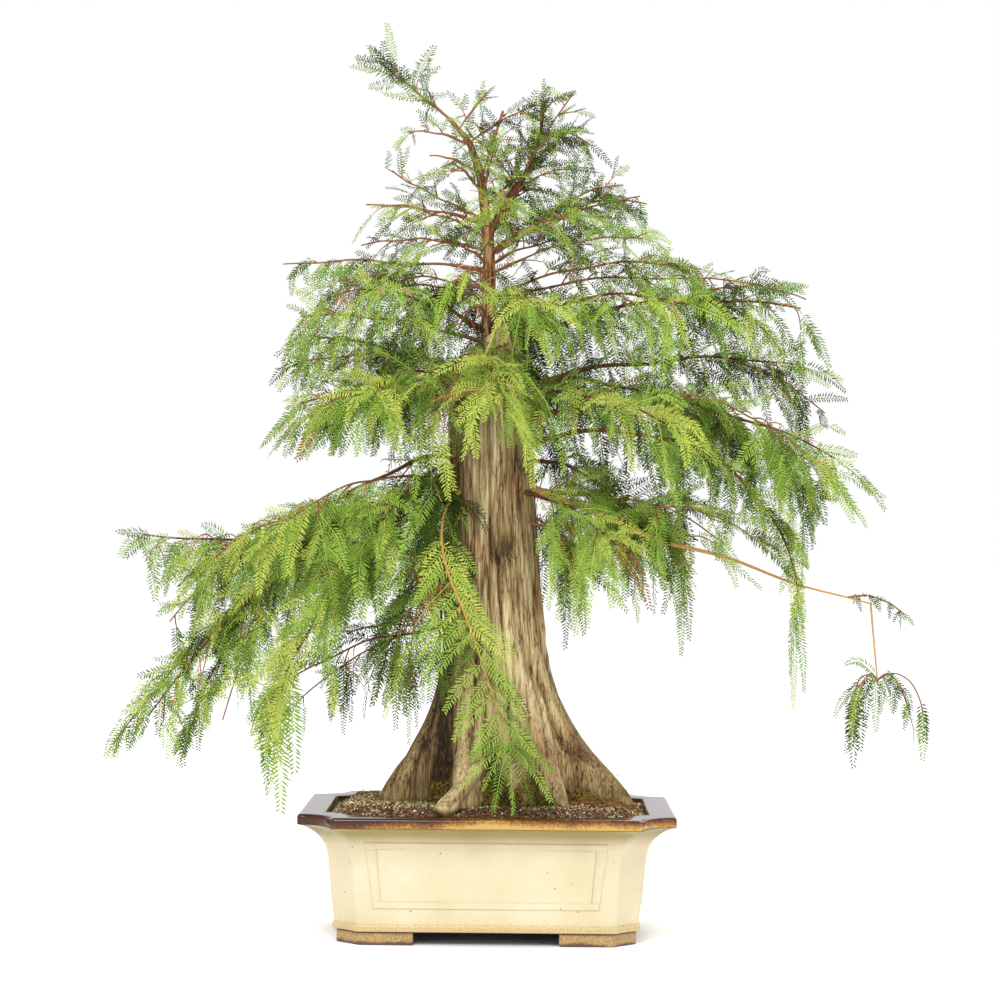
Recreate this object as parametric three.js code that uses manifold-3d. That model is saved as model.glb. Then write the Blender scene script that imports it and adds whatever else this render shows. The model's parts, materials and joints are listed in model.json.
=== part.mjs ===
// Bald cypress bonsai in a glazed rectangular pot with indented corners.
// Millimetres, +Z up, +Y away from the viewer, +X to the right.
import * as THREE from 'three';
import { mergeVertices } from 'three/addons/utils/BufferGeometryUtils.js';
import Module from 'manifold-3d';

const wasm = await Module();
wasm.setup();

// Driving dimensions: the pot
const POT_WIDTH = 400;
const POT_DEPTH = 300;
const POT_HEIGHT = 137.5;
const FOOT_HEIGHT = 14;
const FOOT_LENGTH = 82;
const FOOT_INSET = 4;
const FOOT_WIDTH = 22;
const RIM_BAND = 11;
const RIM_LAND = 28;
const RIM_NOTCH = 38;
const RIM_EASE = 3;
const BASE_INSET = 39;
const BASE_CHAMFER = 25;
const BASE_BEAD = 8;
const BEAD_PROUD = 2;
const WALL_BATTER = 0.09;
const FLARE_START = 90;
const FLARE_RADIUS = 37.5;
const WALL = 10;
const FLOOR = 12;
const BASE_HOLLOW = 0.3;
const MOUTH_HOLLOW = 0.35;
const CORNER_STEPS = 4;
const FLARE_STEPS = 3;
const BASE_HALF_X = POT_WIDTH / 2 - BASE_INSET;
const BASE_HALF_Y = POT_DEPTH / 2 - BASE_INSET;
const BAND_BOTTOM = POT_HEIGHT - RIM_BAND;
const CAVITY_FLOOR = FOOT_HEIGHT + FLOOR;

// Driving dimensions: the soil
const SOIL_EDGE = 130.5;
const SOIL_TOP = 143;
const SOIL_SLOPE = 16;

// Driving dimensions: the trunk
const FIT = 0.3;
const TRUNK_SIDES = 32;
const TRUNK_RINGS = 14;
const RING_BUNCHING = 1.25;
const TRUNK_RADIUS = 45;
const TRUNK_TAPER = 0.025;
const TRUNK_SHOULDER = 545;
const CHOP_HEIGHT = 650;
const CHOP_RADIUS = 25;
const SHOULDER_POWER = 1.6;
const CHOP_SLOPE = 0.8;
const TRUNK_FOOT_X = 17;
const TRUNK_TOP_X = -4.5;
const TRUNK_BEND = 165;
const FLARE_HEIGHT = 78;
const FLARE_POWER = 1.5;
const HOLLOW = 12;
const RIBS = 5;
const RIB_DEPTH = 0.035;
// Each root: compass direction (0 right, 90 back, 180 left, 270 front), reach past the trunk, width.
const ROOTS = [
  { azimuth: 352, reach: 82, width: 20 },
  { azimuth: 316, reach: 42, width: 16 },
  { azimuth: 284, reach: 34, width: 15 },
  { azimuth: 242, reach: 50, width: 15 },
  { azimuth: 183, reach: 86, width: 19 },
  { azimuth: 146, reach: 56, width: 20 },
  { azimuth: 104, reach: 46, width: 20 },
  { azimuth: 62, reach: 58, width: 20 },
  { azimuth: 25, reach: 46, width: 16 },
];

// The leader that rises from the chop: height, then offset to the right.
const LEADER_START = 628;
const LEADER = [[LEADER_START, -3.4], [681, -4], [752, -5], [820, -13], [861, -26], [888, -49]];
const LEADER_RADIUS = 8.5;
const LEADER_TIP = 2.6;
const LEADER_STEPS = 8;

// Driving dimensions: foliage
const LIMB_SIDES = 5;
const BOUGH_STEPS = 4;
const STEM_SIDES = 3;
const STEM_STEPS = 3;
const STEM_TIP = 2;
const STEM_TAPER = 0.7;
const TRACK_STEPS = 8;
const TWIG_RADIUS = 2.4;
const TWIG_TIP = 1.6;
const SPRAY_WIDTH = 44;
const SPRAY_RISE = 1.8;
const SPRAY_TEETH = 3;
const SPRAY_SHORT = 0.85;
const SPRAY_LONG = 1.1;
const SPRAY_TRIES = 5;
const SPRAY_SWAY = 0.3;
const SPRAY_APART = 15;
const SPRAY_CUT = 0.1;
const RIDGE_TESTS = [0.25, 0.4, 0.55, 0.7, 0.85, 1];
const TIP_SHARE = 0.3;
const FIRST_TOOTH = 0.6;
const WIDEST_AT = 0.4;
const TOOTH_VALLEY = 0.2;
const TOOTH_TAPER = 0.9;
const TOOTH_SWEEP = 0.06;
// A twig, as shares of its reach: on along the stem, out to the side, and down
const TWIG_ALONG = 0.5;
const TWIG_ASIDE = 0.85;
const TWIG_SAG = 0.2;
const TWIG_SHRINK = 0.35;
const TWIG_TESTS = [0.45, 0.6, 0.8, 1];
const TWIG_LEAN = 0.3;
const STEM_LEAN = 0.4;
const END_LEAN = 0.6;
const LIMB_CLEAR = 6.5;
const SPACE_CLEAR = 1.2;
const HEIGHT_WEIGHT = 0.75;
const MIDDLE_SHARE = 0.6;
const MIDDLE_DROP = 0.45;
const MERGE = 1e-4;
const SIMPLIFY = 0.02;
const SEED = 20817;
const SEED_STEP = 97;

const COLOURS = {
  glaze: 0xf3e6bf,
  foot: 0x8a6a40,
  soil: 0x5a4433,
  bark: 0x8b735a,
  bough: 0x7d5a40,
  needles: 0x6f9a3c,
};

// Every limb leaves the trunk at height, goes out along azimuth, which swings by swing on the way, and
// ends at reach from the trunk's axis and at height end. arch lifts its middle, and weep above 1 sends it
// out first and down afterwards. A limb with from leaves that other limb, at a share of its length.
// bare is the share of a limb that is a bough. The rest is the stem of a mass, with a number of side twigs
// up to spread long and sprays that hang by hang. Sprays with less droop point along their stem.
const LIMB_DEFAULTS = { swing: 0, weep: 1, bare: 0, droop: 1 };
const LIMBS = [
  { name: 'left_low', azimuth: 186, swing: 4, height: 498, reach: 368, end: 236,
    arch: 62, bare: 0.36, radius: 9, spread: 70, hang: 80, twigs: 5 },
  { name: 'left_sweep', azimuth: 172, swing: 4, height: 532, reach: 362, end: 424,
    arch: -14, bare: 0.34, radius: 7.5, spread: 64, hang: 80, twigs: 5 },
  { name: 'left_fall', azimuth: 203, swing: 6, height: 470, reach: 262, end: 250,
    arch: 66, bare: 0.4, radius: 6.5, spread: 52, hang: 130, twigs: 5 },
  { name: 'left_arch', azimuth: 178, height: 325, reach: 238, end: 262,
    arch: 26, bare: 0.6, radius: 3.6, spread: 34, hang: 60, twigs: 2 },
  { name: 'left_inner', azimuth: 222, swing: -8, height: 508, reach: 165, end: 410,
    arch: 40, radius: 5, spread: 52, hang: 120, twigs: 4 },
  { name: 'front_fall', azimuth: 214, swing: 66, height: 492, reach: 142, end: 214,
    arch: 56, weep: 2.4, bare: 0.42, radius: 6, spread: 40, hang: 80, twigs: 4 },
  { name: 'right_low', azimuth: 356, swing: 4, height: 502, reach: 418, end: 355,
    arch: -8, bare: 1, radius: 7.5 },
  { name: 'right_tail', from: 'right_low', at: 0.97, azimuth: 0, reach: 16, end: 276,
    arch: 0, bare: 1, radius: 2.4 },
  { name: 'right_tuft', from: 'right_tail', at: 1, azimuth: 0, reach: 42, end: 236,
    arch: 22, radius: 2.2, spread: 46, hang: 62, twigs: 2 },
  { name: 'right_tip', from: 'right_low', at: 1, azimuth: 4, reach: 50, end: 338,
    arch: 5, radius: 2.2, spread: 16, hang: 34, twigs: 1 },
  { name: 'right_drop', azimuth: 12, height: 478, reach: 236, end: 428,
    arch: 22, radius: 6, spread: 58, hang: 125, twigs: 5 },
  { name: 'right_inner', azimuth: 328, height: 474, reach: 158, end: 424,
    arch: 22, radius: 5, spread: 50, hang: 112, twigs: 4 },
  { name: 'right_column', azimuth: 346, swing: 10, height: 516, reach: 336, end: 350,
    arch: 96, weep: 1.5, bare: 0.4, radius: 6, spread: 40, hang: 110, twigs: 5 },
  { name: 'right_mid', azimuth: 2, swing: 2, height: 541, reach: 382, end: 520,
    arch: 48, bare: 0.4, radius: 8, spread: 70, hang: 118, twigs: 5 },
  { name: 'right_front', azimuth: 314, swing: 6, height: 566, reach: 250, end: 546,
    arch: 28, radius: 5.5, spread: 62, hang: 120, twigs: 5 },
  { name: 'right_fork', azimuth: 14, swing: 2, height: 584, reach: 356, end: 628,
    arch: 20, bare: 0.36, radius: 7, spread: 66, hang: 105, twigs: 5 },
  { name: 'left_mid', azimuth: 190, swing: -4, height: 562, reach: 206, end: 574,
    arch: 20, bare: 0.34, radius: 6.5, spread: 60, hang: 105, twigs: 5 },
  { name: 'left_upper', azimuth: 168, height: 600, reach: 206, end: 652,
    arch: 8, bare: 0.34, radius: 6, spread: 56, hang: 90, twigs: 5 },
  { name: 'left_front', azimuth: 226, swing: 2, height: 588, reach: 196, end: 578,
    arch: 24, radius: 5, spread: 56, hang: 105, twigs: 4 },
  { name: 'front_mid', azimuth: 268, swing: 4, height: 604, reach: 216, end: 566,
    arch: 34, radius: 5, spread: 54, hang: 95, twigs: 4 },
  { name: 'right_high', azimuth: 2, swing: 4, height: 636, reach: 338, end: 686,
    arch: 28, bare: 0.3, radius: 6.5, spread: 66, hang: 95, twigs: 5 },
  { name: 'right_shoulder', azimuth: 326, swing: 4, height: 646, reach: 244, end: 676,
    arch: 26, radius: 5, spread: 62, hang: 100, twigs: 5 },
  { name: 'front_high', azimuth: 286, height: 650, reach: 184, end: 668,
    arch: 26, radius: 4.5, spread: 54, hang: 95, twigs: 5 },
  { name: 'left_crown', azimuth: 222, height: 652, reach: 176, end: 690,
    arch: 12, radius: 4.5, spread: 52, hang: 85, twigs: 4 },
  { name: 'left_shoot', azimuth: 178, height: 722, reach: 226, end: 728,
    arch: 6, radius: 3.2, spread: 32, hang: 50, twigs: 4 },
  { name: 'back_low_right', azimuth: 52, height: 504, reach: 302, end: 424,
    arch: 44, bare: 0.36, radius: 7, spread: 66, hang: 115, twigs: 5 },
  { name: 'back_low', azimuth: 96, height: 496, reach: 276, end: 408,
    arch: 44, radius: 6.5, spread: 62, hang: 115, twigs: 4 },
  { name: 'back_low_left', azimuth: 142, height: 512, reach: 300, end: 404,
    arch: 44, bare: 0.36, radius: 7, spread: 66, hang: 115, twigs: 5 },
  { name: 'back_mid_right', azimuth: 40, height: 580, reach: 306, end: 566,
    arch: 34, radius: 6.5, spread: 64, hang: 108, twigs: 5 },
  { name: 'back_mid', azimuth: 84, height: 590, reach: 288, end: 560,
    arch: 34, radius: 6, spread: 62, hang: 105, twigs: 4 },
  { name: 'back_mid_left', azimuth: 128, height: 584, reach: 276, end: 576,
    arch: 30, radius: 6, spread: 60, hang: 105, twigs: 5 },
  { name: 'back_high', azimuth: 80, height: 648, reach: 250, end: 684,
    arch: 24, radius: 5, spread: 58, hang: 95, twigs: 5 },
  { name: 'top_plume', azimuth: 180, height: 888, reach: 64, end: 956,
    arch: 0, droop: 0, radius: 2.4, spread: 44, hang: 50, twigs: 4 },
  { name: 'top_left', azimuth: 184, height: 772, reach: 132, end: 792,
    arch: 6, droop: 0.5, radius: 3, spread: 52, hang: 48, twigs: 4 },
  { name: 'top_right', azimuth: 344, swing: 16, height: 762, reach: 60, end: 900,
    arch: 10, weep: 2.2, droop: 0.1, radius: 4, spread: 48, hang: 40, twigs: 5 },
  { name: 'top_right_side', azimuth: 4, height: 738, reach: 166, end: 806,
    arch: 10, droop: 0.6, radius: 3.6, spread: 52, hang: 66, twigs: 4 },
  { name: 'top_front', azimuth: 280, height: 746, reach: 118, end: 782,
    arch: 10, droop: 0.7, radius: 3.2, spread: 48, hang: 62, twigs: 4 },
  { name: 'top_back', azimuth: 78, height: 758, reach: 128, end: 808,
    arch: 10, droop: 0.7, radius: 3.2, spread: 50, hang: 64, twigs: 4 },
].map((spec) => ({ ...LIMB_DEFAULTS, ...spec }));

// A small generator with a fixed seed, so that the plant is the same each time
function seededRandom(seed) {
  let state = seed;
  return () => {
    state = (state * 16807) % 2147483647;
    return state / 2147483647;
  };
}

function radians(degrees) {
  return degrees * Math.PI / 180;
}

function geometryFrom(positions, faces) {
  const geometry = new THREE.BufferGeometry();
  const numbers = positions.flatMap((p) => p.toArray());
  geometry.setAttribute('position', new THREE.Float32BufferAttribute(numbers, 3));
  geometry.setIndex(faces.flat());
  return geometry;
}

function solidFrom(geometry) {
  const bare = geometry.clone();
  bare.deleteAttribute('normal');
  bare.deleteAttribute('uv');
  const merged = mergeVertices(bare, MERGE);
  return new wasm.Manifold(new wasm.Mesh({
    numProp: 3,
    vertProperties: new Float32Array(merged.attributes.position.array),
    triVerts: new Uint32Array(merged.index.array),
  }));
}

function geometryOf(solid) {
  const mesh = solid.getMesh();
  const geometry = new THREE.BufferGeometry();
  geometry.setAttribute('position', new THREE.BufferAttribute(new Float32Array(mesh.vertProperties), 3));
  geometry.setIndex(new THREE.BufferAttribute(new Uint32Array(mesh.triVerts), 1));
  return geometry;
}

function largestPiece(solid) {
  const pieces = solid.decompose();
  return pieces.reduce((best, piece) => (piece.volume() > best.volume() ? piece : best));
}

// Rings of equal length joined side to side. Small rings are closed flat, and large ones round their middle.
function loft(rings) {
  const count = rings[0].length;
  const positions = rings.flat();
  const faces = [];
  for (let r = 0; r + 1 < rings.length; r += 1) {
    for (let i = 0; i < count; i += 1) {
      const next = (i + 1) % count;
      const low = r * count;
      const high = low + count;
      faces.push([low + i, low + next, high + next], [low + i, high + next, high + i]);
    }
  }
  const addCap = (ring, first, flipped) => {
    const small = count <= LIMB_SIDES;
    const middle = ring.reduce((sum, p) => sum.add(p), new THREE.Vector3()).divideScalar(count);
    const hub = small ? first : positions.push(middle) - 1;
    for (let i = small ? 1 : 0; i < (small ? count - 1 : count); i += 1) {
      const a = first + i;
      const b = first + (i + 1) % count;
      faces.push(flipped ? [hub, b, a] : [hub, a, b]);
    }
  };
  addCap(rings[0], 0, true);
  addCap(rings[rings.length - 1], (rings.length - 1) * count, false);
  return geometryFrom(positions, faces);
}

// A tapering limb along a curve, with flat ends
function limb(curve, startRadius, endRadius, sides, segments) {
  const frames = curve.computeFrenetFrames(segments, false);
  const rings = [];
  for (let s = 0; s <= segments; s += 1) {
    const t = s / segments;
    const centre = curve.getPointAt(t);
    const radius = THREE.MathUtils.lerp(startRadius, endRadius, t);
    const ring = [];
    for (let i = 0; i < sides; i += 1) {
      const angle = 2 * Math.PI * i / sides;
      ring.push(centre.clone()
        .addScaledVector(frames.normals[s], radius * Math.cos(angle))
        .addScaledVector(frames.binormals[s], radius * Math.sin(angle)));
    }
    rings.push(ring);
  }
  return loft(rings);
}

// Pot: a rectangle with its corners cut in, from a straight chamfer (0) to a hollow quarter round (1)
function potOutline(halfX, halfY, corner, hollow, z) {
  const ring = [];
  for (let quarter = 0; quarter < 4; quarter += 1) {
    const signX = quarter === 0 || quarter === 3 ? 1 : -1;
    const signY = quarter < 2 ? 1 : -1;
    for (let s = 0; s <= CORNER_STEPS; s += 1) {
      const t = (quarter % 2 === 0 ? CORNER_STEPS - s : s) / CORNER_STEPS;
      const angle = t * Math.PI / 2;
      const cutX = corner * THREE.MathUtils.lerp(1 - t, Math.cos(angle), hollow);
      const cutY = corner * THREE.MathUtils.lerp(t, Math.sin(angle), hollow);
      ring.push(new THREE.Vector3(signX * (halfX - cutX), signY * (halfY - cutY), z));
    }
  }
  return ring;
}

// How far the outer wall stands out from the pot's base at height z
function wallFlare(z) {
  const rise = Math.max(0, z - FLARE_START);
  return WALL_BATTER * (z - FOOT_HEIGHT) + FLARE_RADIUS - Math.sqrt(FLARE_RADIUS ** 2 - rise ** 2);
}

function wallRing(z, offset) {
  const flare = wallFlare(z);
  const share = Math.min(1, flare / BASE_INSET);
  const corner = THREE.MathUtils.lerp(BASE_CHAMFER, RIM_NOTCH, share);
  const hollow = THREE.MathUtils.lerp(BASE_HOLLOW, 1, share);
  return potOutline(BASE_HALF_X + flare + offset, BASE_HALF_Y + flare + offset, corner, hollow, z);
}

function rimRing(inset, z, hollow) {
  return potOutline(POT_WIDTH / 2 - inset, POT_DEPTH / 2 - inset, RIM_NOTCH, hollow, z);
}

function makePot() {
  const beadTop = FOOT_HEIGHT + BASE_BEAD;
  const rings = [
    wallRing(FOOT_HEIGHT, BEAD_PROUD),
    wallRing(beadTop - 1, BEAD_PROUD),
    wallRing(beadTop + 1, 0),
    wallRing(FLARE_START, 0),
  ];
  for (let s = 1; s <= FLARE_STEPS; s += 1) {
    rings.push(wallRing(THREE.MathUtils.lerp(FLARE_START, BAND_BOTTOM, s / FLARE_STEPS), 0));
  }
  rings.push(rimRing(0, BAND_BOTTOM + 1, 1));
  rings.push(rimRing(0, POT_HEIGHT - RIM_EASE, 1));
  rings.push(rimRing(RIM_EASE, POT_HEIGHT, 1));
  rings.push(rimRing(RIM_LAND, POT_HEIGHT, MOUTH_HOLLOW));
  rings.push(rimRing(RIM_LAND + 1, BAND_BOTTOM, MOUTH_HOLLOW));
  rings.push(wallRing(FLARE_START, -WALL));
  rings.push(wallRing(CAVITY_FLOOR, -WALL));
  return loft(rings);
}

function makeSoil() {
  const bottom = wallRing(CAVITY_FLOOR, -WALL - FIT);
  bottom.forEach((p) => p.setZ(CAVITY_FLOOR + FIT));
  const edge = RIM_LAND + 1 + FIT;
  return loft([
    bottom,
    wallRing(FLARE_START, -WALL - FIT),
    rimRing(edge, BAND_BOTTOM, MOUTH_HOLLOW),
    rimRing(edge, SOIL_EDGE, MOUTH_HOLLOW),
    rimRing(edge + SOIL_SLOPE, SOIL_TOP, MOUTH_HOLLOW),
  ]);
}

// A bracket foot, which turns the pot's corner
function makeFoot(signX, signY) {
  const outerX = BASE_HALF_X + BEAD_PROUD - FOOT_INSET;
  const outerY = BASE_HALF_Y + BEAD_PROUD - FOOT_INSET;
  const cut = BASE_CHAMFER + FOOT_WIDTH / 2;
  const shape = new THREE.Shape([
    [outerX - BASE_CHAMFER, outerY],
    [outerX - FOOT_LENGTH, outerY],
    [outerX - FOOT_LENGTH, outerY - FOOT_WIDTH],
    [outerX - cut, outerY - FOOT_WIDTH],
    [outerX - FOOT_WIDTH, outerY - cut],
    [outerX - FOOT_WIDTH, outerY - FOOT_LENGTH],
    [outerX, outerY - FOOT_LENGTH],
    [outerX, outerY - BASE_CHAMFER],
  ].map(([x, y]) => new THREE.Vector2(signX * x, signY * y)));
  return new THREE.ExtrudeGeometry(shape, { depth: FOOT_HEIGHT - FIT, bevelEnabled: false });
}

// Trunk: how far its bark stands from its axis in direction angle, at height z
function trunkRadius(angle, z) {
  const upper = Math.max(0, (z - TRUNK_SHOULDER) / (CHOP_HEIGHT - TRUNK_SHOULDER));
  const shaft = TRUNK_RADIUS + TRUNK_TAPER * Math.max(0, TRUNK_SHOULDER - z);
  const round = THREE.MathUtils.lerp(shaft, CHOP_RADIUS, Math.min(1, upper) ** SHOULDER_POWER);
  const flare = Math.exp(-((Math.max(0, z - SOIL_TOP) / FLARE_HEIGHT) ** FLARE_POWER));
  const reach = ROOTS.reduce((most, root) => {
    const off = angle - radians(root.azimuth) + Math.PI;
    const turn = THREE.MathUtils.euclideanModulo(off, 2 * Math.PI) - Math.PI;
    const spread = radians(root.width) * (2 - flare);
    return Math.max(most, root.reach * Math.exp(-((turn / spread) ** 2)));
  }, HOLLOW);
  return round * (1 + RIB_DEPTH * Math.cos(RIBS * angle)) + reach * flare;
}

function trunkAxisX(z) {
  return TRUNK_TOP_X + (TRUNK_FOOT_X - TRUNK_TOP_X) * Math.exp(-(z - SOIL_TOP) / TRUNK_BEND);
}

function trunkButt(clearance) {
  const rings = [];
  for (let r = 0; r <= TRUNK_RINGS; r += 1) {
    const z = THREE.MathUtils.lerp(SOIL_TOP + FIT, CHOP_HEIGHT, (r / TRUNK_RINGS) ** RING_BUNCHING);
    const ring = [];
    for (let i = 0; i < TRUNK_SIDES; i += 1) {
      const angle = 2 * Math.PI * i / TRUNK_SIDES;
      const radius = trunkRadius(angle, z) + clearance;
      const x = radius * Math.cos(angle);
      const slant = r === TRUNK_RINGS ? CHOP_SLOPE * x + clearance : 0;
      ring.push(new THREE.Vector3(trunkAxisX(z) + x, radius * Math.sin(angle), z + slant));
    }
    rings.push(ring);
  }
  return loft(rings);
}

const leaderCurve = new THREE.CatmullRomCurve3(LEADER.map(([z, x]) => new THREE.Vector3(x, 0, z)));

function makeTrunk(clearance) {
  const low = LEADER_RADIUS + clearance;
  const high = LEADER_TIP + clearance;
  const leader = solidFrom(limb(leaderCurve, low, high, LIMB_SIDES, LEADER_STEPS));
  return solidFrom(trunkButt(clearance)).add(leader);
}

// The middle of the trunk or of its leader at height z
function axisAt(z) {
  if (z < LEADER_START) {
    return new THREE.Vector3(trunkAxisX(z), 0, z);
  }
  const above = Math.max(1, LEADER.findIndex(([height]) => height >= z));
  const [lowZ, lowX] = LEADER[above - 1];
  const [highZ, highX] = LEADER[above];
  return new THREE.Vector3(THREE.MathUtils.mapLinear(z, lowZ, highZ, lowX, highX), 0, z);
}

// The line of a limb, from its root to its far end, or the part of it between two shares
class LimbCurve extends THREE.Curve {
  constructor(spec, root, from, to) {
    super();
    this.spec = spec;
    this.root = root;
    this.from = from;
    this.to = to;
  }

  getPoint(part, target = new THREE.Vector3()) {
    const { azimuth, swing, reach, end, arch, weep } = this.spec;
    const t = THREE.MathUtils.lerp(this.from, this.to, part);
    const angle = radians(azimuth + swing * t);
    const out = reach * (1 - (1 - t) ** weep);
    const z = THREE.MathUtils.lerp(this.root.z, end, t) + 4 * arch * t * (1 - t);
    return target.set(this.root.x + out * Math.cos(angle), this.root.y + out * Math.sin(angle), z);
  }
}

function limbRadius(spec, t) {
  return THREE.MathUtils.lerp(spec.radius, STEM_TIP, t ** STEM_TAPER);
}

// Points along a limb with its radius there, for keeping foliage clear of it
function limbTrack(curve, startRadius, endRadius) {
  return curve.getPoints(TRACK_STEPS).map((point, i) => ({
    point,
    radius: THREE.MathUtils.lerp(startRadius, endRadius, i / TRACK_STEPS),
  }));
}

function layOutLimbs() {
  const laid = new Map();
  LIMBS.forEach((spec) => {
    const parent = spec.from ? laid.get(spec.from) : null;
    const root = parent ? parent.whole.getPoint(spec.at) : axisAt(spec.height);
    const whole = new LimbCurve(spec, root, 0, 1);
    const length = whole.getLength();
    const tip = limbRadius(spec, spec.bare);
    const end = limbRadius(spec, 1);
    const stemStart = spec.bare > 0 ? spec.bare + FIT / length : 0;
    laid.set(spec.name, {
      spec,
      parent,
      whole,
      bough: spec.bare > 0 ? new LimbCurve(spec, root, 0, spec.bare) : null,
      stem: spec.bare < 1 ? new LimbCurve(spec, root, stemStart, 1) : null,
      stemStart,
      tip,
      end,
    });
  });
  return [...laid.values()];
}

const limbs = layOutLimbs();
const leaderTrack = limbTrack(leaderCurve, LEADER_RADIUS, LEADER_TIP);

function distanceToSegment(point, a, b) {
  const line = new THREE.Line3(a, b);
  return line.closestPointToPoint(point, true, new THREE.Vector3()).distanceTo(point);
}

function clearOfTrack(point, track, gap) {
  return track.every((node, i) => i === 0
    || distanceToSegment(point, track[i - 1].point, node.point) > node.radius + gap);
}

function clearOfTrunk(point) {
  if (point.z > CHOP_HEIGHT + CHOP_RADIUS) {
    return true;
  }
  const x = point.x - trunkAxisX(point.z);
  return Math.hypot(x, point.y) > trunkRadius(Math.atan2(point.y, x), point.z) + LIMB_CLEAR;
}

function clearOfPot(point) {
  const past = Math.max(Math.abs(point.x) - POT_WIDTH / 2, Math.abs(point.y) - POT_DEPTH / 2);
  return point.z > (past > LIMB_CLEAR ? 0 : SOIL_TOP + SPACE_CLEAR);
}

// A mass keeps to the space that is nearer to its own middle than to another's, heights counting for less
function stretched(point) {
  return new THREE.Vector3(point.x, point.y, point.z * HEIGHT_WEIGHT);
}

limbs.filter((item) => item.stem).forEach((item) => {
  const middle = item.whole.getPoint(THREE.MathUtils.lerp(item.stemStart, 1, MIDDLE_SHARE));
  middle.z -= item.spec.hang * MIDDLE_DROP;
  item.middle = stretched(middle);
  item.track = limbTrack(item.stem, item.tip, item.end);
});
limbs.filter((item) => item.bough).forEach((item) => {
  item.boughTrack = limbTrack(item.bough, item.spec.radius, item.tip);
});
const masses = limbs.filter((item) => item.stem);

function inSpace(point, mass) {
  const p = stretched(point);
  const own = p.distanceToSquared(mass.middle);
  return masses.every((other) => other === mass
    || (p.distanceToSquared(other.middle) - own) / (2 * other.middle.distanceTo(mass.middle)) > SPACE_CLEAR);
}

function isFree(points, mass) {
  return points.every((point) => clearOfPot(point) && clearOfTrunk(point) && inSpace(point, mass)
    && clearOfTrack(point, leaderTrack, LIMB_CLEAR)
    && limbs.every((item) => (!item.boughTrack || clearOfTrack(point, item.boughTrack, LIMB_CLEAR))
      && (item === mass || !item.track || clearOfTrack(point, item.track, LIMB_CLEAR))));
}

// A spray of needles as one blade: flat below, with a ridge above and teeth along both edges
function spray(base, direction, facing, length) {
  const across = new THREE.Vector3().crossVectors(facing, direction).normalize();
  const above = new THREE.Vector3().crossVectors(direction, across).normalize();
  const place = (along, side, lift) => base.clone()
    .addScaledVector(direction, along * length)
    .addScaledVector(across, side * SPRAY_WIDTH / 2)
    .addScaledVector(above, lift * SPRAY_RISE);
  const pitch = 1 / (SPRAY_TEETH + TIP_SHARE);
  const positions = [place(0, 0, 0), place(1, 0, 0)];
  const stations = [];
  for (let s = 0; s < SPRAY_TEETH; s += 1) {
    const along = (s + FIRST_TOOTH) * pitch;
    const half = 1 - TOOTH_TAPER * Math.abs(along - WIDEST_AT);
    stations.push(positions.length);
    positions.push(place(along + TOOTH_SWEEP, half, 0));
    positions.push(place(along + TOOTH_SWEEP, -half, 0));
    positions.push(place(along, 0, 1));
    if (s + 1 < SPRAY_TEETH) {
      const valley = along + pitch / 2;
      positions.push(place(valley, TOOTH_VALLEY, 0), place(valley, -TOOTH_VALLEY, 0));
    }
  }
  const faces = [];
  [0, 1].forEach((side) => {
    const add = (a, b, c) => faces.push(side === 0 ? [a, b, c] : [a, c, b]);
    let inner = 0;
    stations.forEach((first, s) => {
      const tooth = first + side;
      const ridge = first + 2;
      const last = s + 1 === SPRAY_TEETH;
      const valley = last ? 1 : first + 3 + side;
      add(inner, ridge, tooth);
      add(tooth, ridge, valley);
      add(inner, tooth, valley);
      if (!last) {
        add(valley, ridge, stations[s + 1] + 2);
      }
      inner = valley;
    });
  });
  let left = 0;
  let right = 0;
  stations.slice(0, -1).forEach((first) => {
    faces.push([left, first + 3, first + 4]);
    if (left !== right) {
      faces.push([left, first + 4, right]);
    }
    left = first + 3;
    right = first + 4;
  });
  faces.push([left, 1, right]);
  return { geometry: geometryFrom(positions, faces), points: positions };
}

// Tries a few directions for a spray, and keeps the first that is free and clear of the mass's others
function addSpray(mass, grown, base, lean, length, random) {
  for (let attempt = 0; attempt < SPRAY_TRIES; attempt += 1) {
    const turn = 2 * Math.PI * random();
    const sway = new THREE.Vector3(SPRAY_SWAY * Math.cos(turn), SPRAY_SWAY * Math.sin(turn), 0);
    const direction = lean.clone().add(sway).normalize();
    const face = Math.PI * random();
    const facing = new THREE.Vector3(Math.cos(face), Math.sin(face), 0);
    const cut = length * (1 - SPRAY_CUT * attempt);
    const blade = spray(base, direction, facing, cut);
    const ridge = RIDGE_TESTS.map((along) => base.clone().addScaledVector(direction, along * cut));
    const apart = (p) => grown.ridges.every(([a, b]) => distanceToSegment(p, a, b) > SPRAY_APART);
    if (ridge.every(apart) && isFree(blade.points.slice(1).concat(ridge), mass)) {
      grown.pieces.push(solidFrom(blade.geometry));
      grown.ridges.push([ridge[0], ridge[ridge.length - 1]]);
      return;
    }
  }
}

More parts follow.
